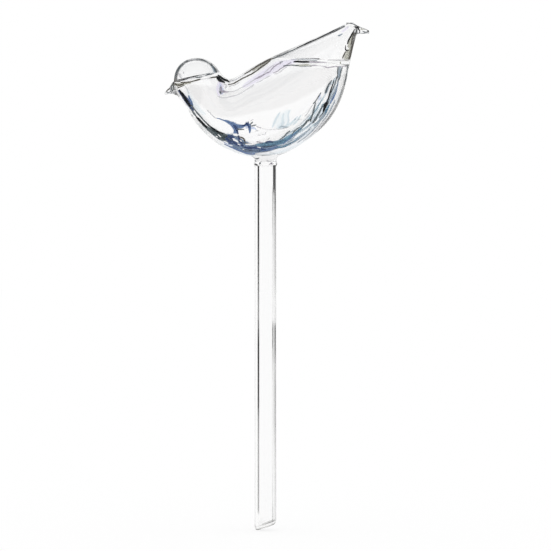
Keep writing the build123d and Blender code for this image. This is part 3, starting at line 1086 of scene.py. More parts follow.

# Strokes of painted reflection, painted highlight and painted shade on the side of the bird towards
# the camera
SEEN_STROKES = (
    (PaintedLight.GREY_REFLECTION,
     (-41, 243.4, 2.5, -34, 240.4, 6, -24, 235.6, 8.6, -12, 236.6, 8.6, 0, 239.6, 9.2, 12, 243.6, 9.4,
      22, 247.4, 8.2, 31, 250.6, 5.4, 37, 252.6, 2.6)),
    (PaintedLight.PALE_REFLECTION,
     (-43, 242.6, 1.2, -41.4, 238, 2.2, -38, 233.4, 2.2, -34, 229.8, 1.4),
     (7, 222.6, 2.4, 8.4, 225.4, 4.2, 10.4, 228.4, 4, 12.4, 231, 2.2)),
    (PaintedLight.SLATE,
     (-26.8, 227.3, 0.4, -25, 226.8, 0.4, -23.2, 226.1, 0.6, -21, 225.4, 1.1, -19, 224.5, 1.7,
      -17.2, 223.2, 2.3, -16.4, 221.6, 1.9, -16.5, 220.2, 1.5, -17.2, 219.2, 1),
     (-17, 223.4, 1.7, -14.5, 222.8, 1.7, -12.4, 223, 1.1, -11, 223.4, 0.9, -9.6, 223.7, 1.4,
      -8.8, 222.9, 1.3),
     (-8.9, 223, 0.9, -8.7, 221.6, 1.1, -8.6, 220.4, 0.8, -8.8, 219.4, 0.5)),
    (PaintedLight.NAVY,
     (-17.8, 223.4, 0.5, -16.4, 222.2, 0.9, -15.8, 220.6, 0.8, -15.2, 218.8, 0.6),
     (-13.4, 223.1, 0.4, -11.6, 223.6, 0.6, -10.2, 224.4, 0.7, -9.6, 223.4, 0.6, -8.8, 222.2, 0.6),
     (-10.8, 225, 0.45, -9.8, 224.2, 0.6),
     (-9.6, 225.4, 0.4, -9.2, 224.2, 0.4),
     (0, 214.3, 0.4, 2, 214.5, 0.5, 3.8, 214.4, 0.4)),
    (PaintedLight.GRAPHITE,
     (-15.2, 221.4, 0.7, -13.6, 221.2, 0.55, -11.8, 221.1, 0.4),
     (-8.4, 223.7, 0.45, -7.7, 224.5, 0.6, -7, 225.2, 0.35),
     (-7.8, 222.9, 0.45, -6.4, 223.2, 0.55, -5, 223.6, 0.35)),
    (PaintedLight.PERIWINKLE,
     (-10.8, 222.2, 0.6, -9.6, 222.1, 0.5),
     (-8, 221.7, 0.7, -6.6, 221.9, 0.8, -5.2, 221.1, 0.5),
     (-13.6, 215.7, 0.5, -12.6, 215, 0.5, -12.2, 214, 0.4),
     (-3.8, 211.3, 0.45, -1.8, 211.2, 0.45)),
    (PaintedLight.ASH,
     (-8.4, 225.6, 0.4, -7, 226.6, 0.4),
     (-3, 222, 0.4, -1, 221.5, 0.4, 1.4, 221.1, 0.4, 4.6, 221.1, 0.4, 8, 221.4, 0.5, 10.6, 221.8, 0.45,
      13, 222.7, 0.4),
     (-5.2, 220.4, 0.6, -4, 220.4, 0.5),
     (-2, 218.4, 0.4, -0.2, 218.5, 0.45, 0.2, 219.6, 0.4),
     (-4.4, 217.9, 0.45, -2.8, 217.9, 0.4),
     (1.2, 215.6, 0.5, 2.4, 216.3, 0.5),
     (-9.6, 213.2, 0.4, -7.8, 213.4, 0.4),
     (17.2, 226, 0.35, 18.6, 226.4, 0.4, 20.2, 226.8, 0.35),
     (21.6, 228.4, 0.35, 24, 231.6, 0.4, 26.2, 235, 0.4),
     (-27.4, 227.2, 0.5, -29.4, 229.2, 0.5, -32, 231.6, 0.5)),
    (PaintedLight.MAUVE,
     (-4.9, 223, 0.35, -3.7, 222.4, 0.5, -2.6, 222.1, 0.4),
     (-5, 214.2, 0.45, -3.5, 214.1, 0.55, -1.8, 213.8, 0.4)),
    (PaintedLight.UMBER,
     (-14.4, 216.9, 0.45, -12.8, 216.5, 0.5, -11.7, 215.6, 0.55, -11.3, 214.4, 0.45),
     (-11, 213.6, 0.45, -10, 213.4, 0.4)),
    (PaintedLight.SKY,
     (4, 222.4, 0.9, 5, 225.2, 1.3, 6.6, 228.4, 1, 8, 230.6, 0.5),
     (7.4, 222, 1.3, 9.4, 224.4, 1.5, 9.4, 227.4, 0.9, 10.2, 230, 0.5),
     (8.6, 221.8, 1.1, 11.8, 223.2, 1.3, 15, 225.2, 1, 17.6, 228.2, 0.6),
     (11.6, 223.2, 0.8, 12.8, 226.2, 0.9, 12.6, 229.2, 0.6, 13.6, 232, 0.4),
     (15.4, 224, 0.9, 17.6, 226, 1, 19.6, 229, 0.6)),
    (PaintedLight.STEEL,
     (7.6, 222, 0.35, 9, 222.8, 0.6, 10.4, 222.6, 0.7, 12.4, 222.4, 0.4),
     (16.2, 226.2, 0.35, 16.5, 227.2, 0.4)),
    # Painted shade along the line of the water in the head, and what crosses it
    (PaintedLight.ASH,
     (-45.6, 249.3, 0.35, -42, 249.4, 0.4, -39.4, 249.6, 0.45, -36.4, 250, 0.5, -33, 250.8, 0.5,
      -30, 251.7, 0.5, -28, 252.2, 0.45),
     (-36, 248.8, 0.4, -33, 249.1, 0.35, -30.6, 249.4, 0.45),
     (-44.4, 244.8, 0.35, -43.1, 242.9, 0.4, -42.4, 240.6, 0.4),
     (-47.7, 251.9, 0.7, -47.1, 251.3, 0.8),
     (-46.8, 248.4, 0.5, -46, 249.2, 0.4),
     (-45.5, 252, 0.4, -45.3, 252.9, 0.4),
     (-49.6, 249.8, 0.5, -48.7, 248.8, 0.5),
     (-48.2, 252.2, 0.9, -47.2, 250.6, 1, -46.6, 249.6, 0.6),
     (-26.8, 254.2, 0.6, -26, 252.6, 0.5)),
    (PaintedLight.GRAPHITE,
     (-38.6, 249.8, 0.35, -36.6, 249.9, 0.55, -35, 250.2, 0.35),
     (-33, 250.9, 0.4, -31.4, 251.5, 0.55, -29.8, 251.7, 0.5, -28.9, 251.9, 0.35),
     (-50.1, 249.6, 0.5, -49.8, 251.2, 0.6, -49.1, 252.8, 0.8, -48.2, 254.3, 1, -46.8, 256.2, 0.7,
      -45.4, 257.6, 0.4),
     (-30.2, 257.6, 0.4, -28.8, 255.8, 0.6, -27.8, 254.2, 1, -27.2, 252.9, 0.8)),
    (PaintedLight.UMBER,
     (-51.2, 248, 0.6, -50, 247.8, 0.5, -48.2, 247.7, 0.4, -47.2, 247.6, 0.3),
     (-46.8, 247.2, 0.4, -44.4, 247.2, 0.55, -41, 247.6, 0.5, -38.8, 248.1, 0.5, -37, 248.6, 0.55,
      -35.6, 248.9, 0.35),
     (-31, 249.4, 0.35, -29.2, 249.8, 0.5, -27.2, 250.1, 0.6),
     (-50.2, 246.3, 0.4, -48.6, 245.6, 0.55, -47, 245.7, 0.55, -45.4, 246.4, 0.4),
     (-48.6, 244.1, 0.4, -47, 244.7, 0.4, -45, 245.4, 0.3),
     (-50.6, 247.4, 0.6, -50.2, 249, 0.5, -49.9, 250.6, 0.4)),
    (PaintedLight.OLIVE,
     (-50.4, 246.4, 0.6, -48.8, 245.8, 1.3, -46.6, 246, 1.1, -44, 246.6, 0.7, -41.4, 246.9, 0.5)),
    (PaintedLight.STEEL, (-29.6, 256, 0.5, -28.6, 254, 0.8, -28.2, 252.6, 0.6)),
    # Painted shade along the line round the head
    (PaintedLight.GRAPHITE,
     (-49.6, 253.4, 0.35, -48.3, 255.5, 0.4, -46, 257.9, 0.4, -43, 259.4, 0.35),
     (-38, 260, 0.3, -35.6, 259.7, 0.4, -33, 258.8, 0.4, -30.8, 257.4, 0.35, -28.9, 255.6, 0.35)),
    (PaintedLight.ASH, (-43, 259.5, 0.4, -40, 260, 0.4, -37.4, 260, 0.4)),
    # Painted shade at the nape and along the line of the back, with a painted highlight at its end
    (PaintedLight.CHARCOAL,
     (-26.3, 251.1, 0.5, -25.2, 250.4, 0.8, -23.9, 249.4, 0.8, -22.4, 248.6, 0.9, -21.1, 248.2, 0.8,
      -20.1, 247.5, 0.5),
     (-27, 250.3, 0.6, -26, 249.3, 1.3, -24.9, 248.4, 1.3, -23.9, 247.9, 0.9, -22.7, 247.3, 0.6),
     (17, 265.9, 0.25, 21, 267.9, 0.4, 26, 270.2, 0.4, 31, 272.5, 0.4, 36, 275, 0.35, 40.4, 277.5, 0.35)),
    (PaintedLight.ASH,
     (-20.6, 247.9, 0.7, -17.4, 248.4, 0.6, -14.4, 249.8, 0.5, -11.6, 251.6, 0.5),
     (-20, 245, 0.4, -17.4, 245.6, 0.4, -14.6, 247.2, 0.35)),
    (PaintedLight.UMBER,
     (-20.4, 246, 0.4, -18.6, 246.3, 0.4, -16.6, 247.1, 0.5, -14.4, 248.4, 0.5, -12, 249.7, 0.5,
      -9.4, 251, 0.5, -7, 252.3, 0.5, -4.5, 253.9, 0.5, -2, 255.7, 0.6, 0.5, 257.5, 0.55, 2.5, 259, 0.5),
     (-12, 251.5, 0.4, -9, 253.3, 0.5, -6.5, 254.9, 0.6, -4, 256.4, 0.75, -1.5, 257.8, 0.8, 1, 259.2, 0.7,
      3.5, 260.1, 0.6, 4.8, 260.2, 0.35)),
    (PaintedLight.OLIVE, (-7, 253.7, 0.6, -3, 256.1, 0.9, 1, 258.4, 0.8)),
    (PaintedLight.GRAPHITE,
     (4.6, 260.2, 0.35, 10, 262.6, 0.4, 15, 264.9, 0.38, 20, 267.4, 0.45, 25, 269.7, 0.4, 30, 272, 0.45,
      36, 274.9, 0.4, 40, 277.1, 0.4, 42.6, 278.9, 0.35),
     (40.6, 277.8, 0.3, 42.2, 278.4, 0.4, 43.4, 279, 0.3),
     (45.2, 279.8, 0.35, 46.6, 279.9, 0.45, 48.2, 279.5, 0.4, 49.6, 279, 0.3)),
    (PaintedLight.GLARE, (44.4, 278.2, 0.6, 45.6, 278.9, 0.8, 47, 279.2, 0.7, 48.6, 278.7, 0.6)),
    # The painted lilac light under the back, with greys of painted shade
    (PaintedLight.LILAC,
     (-12, 245, 1.4, -8, 247.6, 2.6, -4, 250, 3.2, 0, 252.4, 3.3, 4, 254.8, 3.4, 8, 256.8, 3.2,
      12, 258, 2.6, 16, 258.8, 1.4),
     (-25.4, 247.4, 0.9, -26.6, 243.6, 1.1, -25.6, 240, 0.8),
     (-24.2, 247, 0.9, -23.4, 245, 1)),
    (PaintedLight.PERIWINKLE, (-24.8, 246.4, 0.8, -24.6, 244.4, 1.5, -24.2, 242.6, 2, -24.4, 241.4, 1.2)),
    (PaintedLight.MAUVE,
     (-24.6, 244.9, 0.8, -24.6, 243.3, 1.4, -24.7, 241.7, 1.3),
     (-24.6, 241.8, 0.9, -23.4, 242.2, 1.1, -22.2, 241.9, 0.8, -20.6, 241.9, 0.35),
     (-5.8, 249, 0.5, -3.6, 249.9, 0.8, -1.4, 251.1, 0.7, 0.6, 252.4, 0.55, 2.4, 253.1, 0.5,
      3.4, 254.4, 0.5, 5, 256, 0.55, 6.8, 257.1, 0.5, 8.6, 257.5, 0.4),
     (4.2, 252.4, 0.35, 6.5, 253.4, 0.4, 8.5, 254.9, 0.45, 10.5, 256.1, 0.45, 12, 257.1, 0.5,
      14, 258.1, 0.45)),
    (PaintedLight.GRAPHITE,
     (-25.2, 242.2, 0.5, -24.8, 241.3, 0.6),
     (7.6, 258.1, 0.35, 8.8, 258.3, 0.4, 9.6, 258.6, 0.3)),
    (PaintedLight.ASH,
     (-22.6, 246.4, 0.7, -21.4, 245.6, 0.8, -22, 244.2, 0.7),
     (-21.6, 241.9, 0.4, -19, 242, 0.4, -16.4, 242.7, 0.4, -13.5, 244.2, 0.4, -10.5, 245.9, 0.45,
      -8, 247.5, 0.5, -5.5, 249.1, 0.5),
     (-0.6, 252.4, 0.4, 0.8, 253.8, 0.45, 2.6, 255.4, 0.45, 4.8, 257, 0.4),
     (-26.6, 239.7, 0.4, -25, 238.9, 0.45, -22, 238.8, 0.4, -19, 239.4, 0.5, -17, 239.9, 0.45,
      -15, 240.7, 0.35, -12.5, 241.9, 0.35, -10, 243.5, 0.45, -8, 244.7, 0.6, -6.4, 246, 0.45),
     (-5, 247, 0.35, -2, 248.2, 0.35, 0.6, 249.9, 0.4, 2.8, 250.8, 0.4),
     (5, 251.8, 0.35, 7.5, 252.7, 0.35, 9.5, 254.4, 0.4, 11.6, 255.6, 0.4)),
    # Painted highlight and painted shade along the line of the water under the tail
    (PaintedLight.GLARE,
     (6, 260.2, 0.35, 10, 260.3, 0.45, 16, 260.3, 0.35),
     (30, 260.3, 0.35, 34, 260.1, 0.55, 39, 259.8, 0.55, 45, 259.3, 0.55)),
    (PaintedLight.CHARCOAL, (15.4, 258.3, 0.4, 17, 258.6, 0.7, 19.4, 258.6, 0.75, 21.6, 258.5, 0.7, 24, 258.5, 0.5)),
    (PaintedLight.MAUVE,
     (22.6, 258.5, 0.7, 26, 258.5, 0.7, 29, 258.4, 0.6, 33.6, 258.2, 0.4),
     (25, 256.5, 0.4, 27.6, 256.6, 0.5, 30, 256.4, 0.35, 32.4, 255.9, 0.45, 34.4, 255.4, 0.5,
      37.6, 255.8, 0.5, 41, 255.9, 0.5, 45.4, 256, 0.45)),
    (PaintedLight.ASH,
     (17.6, 259.6, 0.35, 20, 260, 0.5, 24, 260.1, 0.5, 27.4, 260.4, 0.5, 29, 260, 0.35),
     (34.4, 259.6, 0.35, 39, 259.5, 0.45, 42, 259.5, 0.5, 45.6, 259.6, 0.5)),
    (PaintedLight.GRAPHITE,
     (9.8, 256.3, 0.35, 12.6, 256.6, 0.45, 15, 256.6, 0.5, 18, 256.5, 0.45),
     (18.4, 256.2, 0.35, 22, 256, 0.4, 25.4, 256, 0.35)),
    (PaintedLight.OLIVE,
     (16.6, 256.6, 0.5, 20, 256.7, 0.6, 23, 256.9, 0.6, 25.6, 256.3, 0.4),
     (41.3, 258.6, 0.3, 41.3, 257.6, 0.35)),
    # Painted shade and painted highlights along the rear edge of the tail
    (PaintedLight.OLIVE,
     (48.2, 274.6, 0.6, 47.4, 272.2, 0.9, 46.9, 270, 1.1, 46.4, 267.8, 1.2, 46.2, 265.6, 1.3,
      45.6, 263.4, 1.5, 44.9, 261.4, 1.7, 44.5, 260.2, 1.6)),
    (PaintedLight.UMBER,
     (50, 274, 0.5, 50, 272.3, 0.6, 49.4, 270.8, 0.6, 48.8, 269, 0.8, 48.2, 267, 0.8, 47.6, 265, 0.7,
      47.1, 263, 0.6, 46.6, 261, 0.6, 46.2, 259.9, 0.5),
     (48.8, 274.4, 0.4, 48, 271.9, 0.45, 47.5, 269.8, 0.4, 47.2, 268, 0.4),
     (44.2, 264, 0.4, 43.6, 262.8, 0.5, 43, 261.5, 0.55, 42.5, 260.5, 0.45)),
    (PaintedLight.CHARCOAL,
     (49, 276.4, 0.35, 48.2, 274.6, 0.5, 47.2, 272.7, 0.55, 46.4, 271.2, 0.6, 45.7, 269.8, 0.6,
      45.3, 268.6, 0.4),
     (44.4, 267.6, 0.3, 44.2, 266.4, 0.35, 44.3, 265.3, 0.5, 44.9, 264.7, 0.55, 45.7, 264.9, 0.4)),
    (PaintedLight.CLEAR, (45.3, 266.2, 0.6, 45.8, 265.9, 0.55)),
    (PaintedLight.GLARE, (46.2, 258, 1.3, 43, 258.1, 1.3, 39, 258.4, 1.1, 34, 258.9, 0.9, 29, 259.3, 0.6)),
    (PaintedLight.STEEL, (40.2, 273.2, 0.4, 41.2, 273.4, 0.6, 42.4, 274, 0.45)),
    (PaintedLight.GRAPHITE, (40, 273, 0.35, 41.2, 273.1, 0.45)),
    (PaintedLight.LILAC, (42.5, 275.3, 0.8, 44, 276.5, 0.9, 45.6, 277.8, 0.6)),
)

# Strokes of painted shade, painted highlight and painted reflection on the side towards the camera of
# the beak, of the tail's tip and of the collar
BEAK_STROKES = (
    (PaintedLight.UMBER, (-53.2, 243.8, 0.35, -54.2, 243, 0.45, -54.9, 242.3, 0.35)),
    (PaintedLight.GRAPHITE,
     (-54.8, 241.9, 0.3, -54.1, 241.5, 0.4, -53.2, 241.6, 0.4, -52.7, 242.1, 0.3),
     (-52.5, 246, 0.4, -52, 244.8, 0.45, -51.9, 243.6, 0.5, -51.3, 242.5, 0.4),
     (-51.4, 245.6, 0.3, -50.8, 244.4, 0.35, -50.8, 243.2, 0.3)),
    (PaintedLight.OLIVE, (-51.6, 246, 0.5, -50.9, 244.6, 0.5, -50.9, 243.2, 0.5)),
    (PaintedLight.ASH, (-50, 242.2, 0.5, -49.2, 241, 0.5), (-52.4, 241.8, 0.4, -51, 241, 0.4)),
)

TAIL_STROKES = (
    (PaintedLight.CHARCOAL,
     (49, 277.9, 0.5, 50.2, 277.4, 0.6, 51.2, 277.9, 0.5, 52.2, 278.2, 0.4),
     (51, 277.8, 0.4, 51.4, 276.4, 0.55, 52, 275.4, 0.4, 51.9, 274.4, 0.35),
     (54.8, 276.7, 0.35, 56.2, 276.3, 0.6, 57, 275.6, 0.55, 56.8, 274.9, 0.4)),
    (PaintedLight.GRAPHITE,
     (49.8, 276.6, 0.5, 49.9, 275.4, 0.4, 50.2, 274.2, 0.4),
     (51.4, 278.5, 0.35, 53.2, 278, 0.45, 54.8, 277.4, 0.45, 56.4, 276.6, 0.4),
     (53.6, 275.4, 0.3, 54.8, 274.8, 0.5, 56.2, 274.9, 0.4)),
    (PaintedLight.OLIVE, (52.6, 276.4, 0.4, 54, 276.5, 0.4, 55.4, 276.6, 0.3)),
)

COLLAR_STROKES = (
    (PaintedLight.GLARE,
     (-7, 207.2, 1.4, -4, 206, 1.6, 0, 205.4, 1.7, 4, 206, 1.6, 7, 207.2, 1.4),
     (-7, 204.8, 0.9, -4, 204.3, 0.8, 0, 203.9, 0.8, 4, 204.3, 0.8, 7, 204.8, 0.9)),
    (PaintedLight.PALE_REFLECTION, (-6.6, 206.8, 0.6, -2, 206.4, 0.5, 4, 206.9, 0.6)),
    (PaintedLight.GRAPHITE,
     (-5.4, 205.1, 0.4, -4.4, 205.1, 0.5, -3.6, 205.4, 0.35),
     (-6, 204.1, 0.45, -5.5, 203.7, 0.4),
     (-2.9, 202.9, 0.35, -2.8, 202.1, 0.4)),
    (PaintedLight.CHARCOAL, (-5.3, 202, 0.5, -4.7, 201.5, 0.5), (4.2, 201.2, 0.35, 5.6, 201.2, 0.4)),
    (PaintedLight.ASH,
     (1.2, 203.6, 0.35, 3, 203.6, 0.35),
     (0.6, 204.2, 0.3, 1.6, 203.8, 0.3),
     (5.4, 202.4, 0.4, 5.9, 202.9, 0.35)),
    (PaintedLight.MAUVE, (2.2, 201.9, 0.4, 3.3, 202.5, 0.5), (5.9, 204.4, 0.35, 6.1, 203.9, 0.4)),
)


# The bird


@dataclass
class BlownBird:
    """The blown shell of the bird.

    Attributes:
        length: length that the cross-sections fill, without the beak and the tail tip.
        height: the same for the height.
        width: the widest place across the bird.
        belly_level: height of the belly's underside above the stem's lower end.
        axis_share: where the stem's axis passes, as a share of the length from the head.
        wall: thickness of the glass.
        bore_radius: radius of the throat, the hole that the stem opens into.
        throat_reach: how far the throat's cutter reaches below and above the belly's underside.
        throat_sides: number of points round it.
        sections: for each cross-section the point on the back and the point on the breast or belly,
            as shares of length and height, and the half width as a share of half the width.
        stations: number of rings along the bird.
        sides: number of points round a ring, on the far side and on the side towards the camera.
        inner: stations and sides of the inner wall.
        rough: stations and sides of a rough skin, which other pieces are fitted to.
        end_rings: number of rings that close each end.
        end_bulge: how far the closed ends stand out beyond the last cross-section.
    """

    length: float = 101.6 * MM
    height: float = 74.7 * MM
    width: float = 51.4 * MM
    belly_level: float = 205.3 * MM
    axis_share: float = 0.5
    wall: float = 1.2 * MM
    bore_radius: float = 4.2 * MM
    throat_reach: Pair = (5 * MM, 6 * MM)
    throat_sides: int = 64
    sections: tuple = (
        ((0.002, 0.567), (0.009, 0.509), 0.09),
        ((0.009, 0.630), (0.023, 0.458), 0.25),
        ((0.033, 0.687), (0.048, 0.419), 0.37),
        ((0.076, 0.727), (0.073, 0.375), 0.46),
        ((0.133, 0.740), (0.096, 0.313), 0.53),
        ((0.190, 0.719), (0.135, 0.235), 0.59),
        ((0.236, 0.667), (0.193, 0.155), 0.67),
        ((0.268, 0.610), (0.266, 0.086), 0.76),
        ((0.306, 0.584), (0.340, 0.040), 0.84),
        ((0.377, 0.628), (0.430, 0.010), 0.93),
        ((0.480, 0.710), (0.535, 0.008), 0.99),
        ((0.584, 0.777), (0.643, 0.062), 1.00),
        ((0.676, 0.831), (0.741, 0.149), 0.93),
        ((0.758, 0.880), (0.828, 0.254), 0.80),
        ((0.828, 0.923), (0.891, 0.379), 0.63),
        ((0.883, 0.956), (0.932, 0.527), 0.47),
        ((0.923, 0.983), (0.955, 0.682), 0.33),
        ((0.953, 0.999), (0.973, 0.800), 0.23),
        ((0.977, 1.000), (0.987, 0.878), 0.155),
        ((0.991, 0.986), (0.996, 0.922), 0.09),
    )
    stations: int = 296
    sides: tuple[int, int] = (100, 190)
    inner: tuple[int, tuple[int, int]] = (110, (44, 44))
    rough: tuple[int, tuple[int, int]] = (90, (40, 40))
    end_rings: int = 6
    end_bulge: float = 0.5 * MM

    def point(self, along: float, up: float) -> np.ndarray:
        """The point in the bird's middle plane at shares of its length and height."""
        return np.array([
            (along - self.axis_share) * self.length, 0, self.belly_level + up * self.height
        ])

    def outer_skin(self, stations: int, sides: tuple[int, int]) -> Skin:
        """The outer surface of the glass, as rings round the bird from the head to the tail.

        Args:
            stations: number of rings.
            sides: number of points round a ring, on the far side and on the side towards the camera.

        Returns:
            The closed skin. The first point of each ring lies on the breast or belly.
        """
        table = np.array([
            [*self.point(*back), *self.point(*belly), half * self.width / 2]
            for back, belly, half in self.sections
        ])
        strides = np.diff(table, axis=0)
        steps = np.linalg.norm(strides[:, 0:3], axis=1) + np.linalg.norm(strides[:, 3:6], axis=1)
        knots = np.concatenate([[0], np.cumsum(steps)])
        eased = (1 - np.cos(np.linspace(0, math.pi, stations))) / 2
        at = knots[-1] * (eased + np.linspace(0, 1, stations)) / 2
        read = spline_through(knots, table, at)
        back, belly, half = read[:, 0:3], read[:, 3:6], read[:, 6]
        angle = np.concatenate([
            np.linspace(0, math.pi, sides[0], endpoint=False),
            np.linspace(math.pi, WHOLE_TURN, sides[1], endpoint=False),
        ])
        centre = (back + belly) / 2
        rise = (back - belly) / 2
        rings = centre[:, None] - rise[:, None] * np.cos(angle)[None, :, None]
        rings[:, :, 1] += half[:, None] * np.sin(angle)[None]
        closing = np.linspace(0, math.pi / 2, self.end_rings + 1)[1:]
        ends = []
        for row, neighbour in ((0, 1), (-1, -2)):
            outwards = centre[row] - centre[neighbour]
            outwards /= np.linalg.norm(outwards)
            shrunk = [
                centre[row] + (rings[row] - centre[row]) * math.cos(a)
                + outwards * self.end_bulge * math.sin(a)
                for a in closing
            ]
            ends.append((shrunk[:-1], shrunk[-1].mean(axis=0)))
        (front, first), (rear, last) = ends
        rings = np.concatenate([np.array(front)[::-1], rings, np.array(rear)])
        return Skin(rings, first, last)

    def build(self) -> Object:
        """Makes the shell: the outer wall, the inner wall and the throat through both.

        Returns:
            The finished piece.
        """
        outer = self.outer_skin(self.stations, self.sides)
        inner = self.outer_skin(*self.inner).sunk(self.wall)
        count = len(outer.vertices())
        shell = new_piece(
            "bird_shell",
            outer.vertices() + inner.vertices(),
            outer.faces() + inner.faces(flipped=True, first_index=count),
        )
        shell.data.materials.append(PaintedLightGlassFinish(
            "blown_borosilicate_outer", grazing=(0.80, 0.98), total=None, line_strength=0.75,
        ).build())
        shell.data.materials.append(WeighedGlassFinish(
            "blown_borosilicate_inner", total=(0.262, 0.345), line_strength=1.0,
        ).build())
        inside = np.array([min(face.vertices) >= count for face in shell.data.polygons])
        shell.data.polygons.foreach_set("material_index", inside.astype(np.int32))
        below, above = self.throat_reach
        heights = self.belly_level - below, self.belly_level + above
        throat = lathed([(self.bore_radius, z) for z in heights], self.throat_sides)
        cut_away(shell, new_piece("throat", throat.vertices(), throat.faces()))
        # Painted reflections, highlights and shade, and the weights of the lines of painted shade
        paint(shell, BELLY_STROKES, SEEN_STROKES)
        finish_piece(shell, "bird_body")
        return shell


@dataclass
class WaterBody:
    """The water in the bird, with a curved rim where its two surfaces climb the glass.

    Attributes:
        bird: the bird that holds it.
        overlap: how far it stands in the glass, so that no air shows between them.
        tail_rim: height of the rim under the tail.
        head_rim: a point of the slanting rim under the head, X and Z.
        head_tilt: how far the head's surface slants, in degrees.
        nape: where the two surfaces part, X.
        tail_climb: how far the rim under the tail stands above the middle of its surface.
        head_climb: the same under the head.
        capillary: how fast the rim falls away from the glass.
        shrink: the rings of a surface, as shares of its rim's size.
        rim: distances from the glass, each with how dark the painted shade on the surface is there.
        stations: number of rings along the bird.
        sides: number of points round a ring, on each side.
        snap: points nearer than this to the plane of a cut are taken as on it.
    """

    bird: BlownBird
    overlap: float = 0.1 * MM
    tail_rim: float = 258.9 * MM
    head_rim: Pair = (-38.4 * MM, 249.9 * MM)
    head_tilt: float = 10.4
    nape: float = -20.3 * MM
    tail_climb: float = 2.8 * MM
    head_climb: float = 2.0 * MM
    capillary: float = 2.7 * MM
    shrink: tuple[float, ...] = (
        0.988, 0.972, 0.952, 0.928, 0.90, 0.865, 0.82, 0.765, 0.70, 0.61, 0.50, 0.36, 0.18,
    )
    rim: tuple[Pair, ...] = (
        (0.0 * MM, 0.28), (0.25 * MM, 0.28), (0.6 * MM, 0.0), (3.0 * MM, 0.0), (4.4 * MM, 0.16),
        (5.4 * MM, 0.16), (6.4 * MM, 0.0),
    )
    stations: int = 150
    sides: tuple[int, int] = (60, 60)
    snap: float = 1e-7

    def build(self) -> Object:
        """Makes the water.

        Returns:
            The finished piece.
        """
        skin = self.bird.outer_skin(self.stations, self.sides).sunk(self.bird.wall - self.overlap)
        water = new_piece("water_body", skin.vertices(), skin.faces())
        mesh = bmesh.new()
        mesh.from_mesh(water.data)
        mesh.verts.layers.float.new("shore")
        self.surface(mesh, 1, (0, self.tail_rim), 0, self.tail_climb)
        self.surface(mesh, -1, self.head_rim, math.radians(self.head_tilt), self.head_climb)
        mesh.to_mesh(water.data)
        mesh.free()
        water.data.materials.append(WaterFinish("still_water").build())
        water.data.materials.append(WaterFinish("still_water_surface", rim=self.rim).build())
        finish_piece(water, "water_fill", sharp_degrees=60)
        return water

    def surface(
        self, mesh: bmesh.types.BMesh, side: int, point: Pair, slant: float, climb: float
    ) -> None:
        """Cuts the water off at a plane and closes it with a free surface.

        Args:
            mesh: the water's mesh. Its layer shore gets each new vertex's distance from the glass.
            side: 1 cuts the water towards the tail, -1 the water towards the head.
            point: a point of the rim's plane, X and Z.
            slant: how far the plane leans towards the head.
            climb: how far the rim stands above the middle.
        """
        up = Vector((-math.sin(slant), 0, math.cos(slant)))
        chosen = [v for v in mesh.verts if side * v.co.x > side * self.nape]
        kept = set(chosen)
        part = chosen + [e for e in mesh.edges if kept.issuperset(e.verts)]
        part += [f for f in mesh.faces if kept.issuperset(f.verts)]
        bmesh.ops.bisect_plane(
            mesh, geom=part, dist=self.snap, plane_co=(point[0], 0, point[1]), plane_no=up,
            clear_outer=True,
        )
        rim_edges = [e for e in mesh.edges if e.is_boundary]
        loop = [rim_edges[0].verts[0]]
        edge, vertex = rim_edges[0], rim_edges[0].verts[1]
        while vertex is not loop[0]:
            loop.append(vertex)
            edge = next(e for e in vertex.link_edges if e.is_boundary and e is not edge)
            vertex = edge.other_vert(vertex)
        shore = mesh.verts.layers.float["shore"]
        rim = np.array([v.co for v in loop])
        centre = rim.mean(axis=0)
        following = np.roll(rim, -1, axis=0)
        rows = [loop]
        for share in (*self.shrink, 0.0):
            placed = centre + (rim - centre) * share if share else centre[None]
            spans = following - rim
            along = np.einsum("ijk,jk->ij", placed[:, None] - rim[None], spans)
            along = np.clip(along / np.einsum("jk,jk->j", spans, spans), 0, 1)
            nearest = rim[None] + along[..., None] * spans[None]
            far = np.linalg.norm(placed[:, None] - nearest, axis=2).min(axis=1)
            drop = climb * (1 - np.exp(-far / self.capillary))
            row = []
            for place, distance, fall in zip(placed, far, drop):
                made = mesh.verts.new(Vector(place) - up * fall)
                made[shore] = distance
                row.append(made)
            rows.append(row)
        faces = []
        for low, high in zip(rows[:-1], rows[1:]):
            for i in range(len(low)):
                j = (i + 1) % len(low)
                upper = (high[0],) if len(high) == 1 else (high[j], high[i])
                faces.append(mesh.faces.new((low[i], low[j], *upper)))
        for made in faces:
            made.material_index = 1
            made.smooth = True
        bmesh.ops.recalc_face_normals(mesh, faces=mesh.faces)


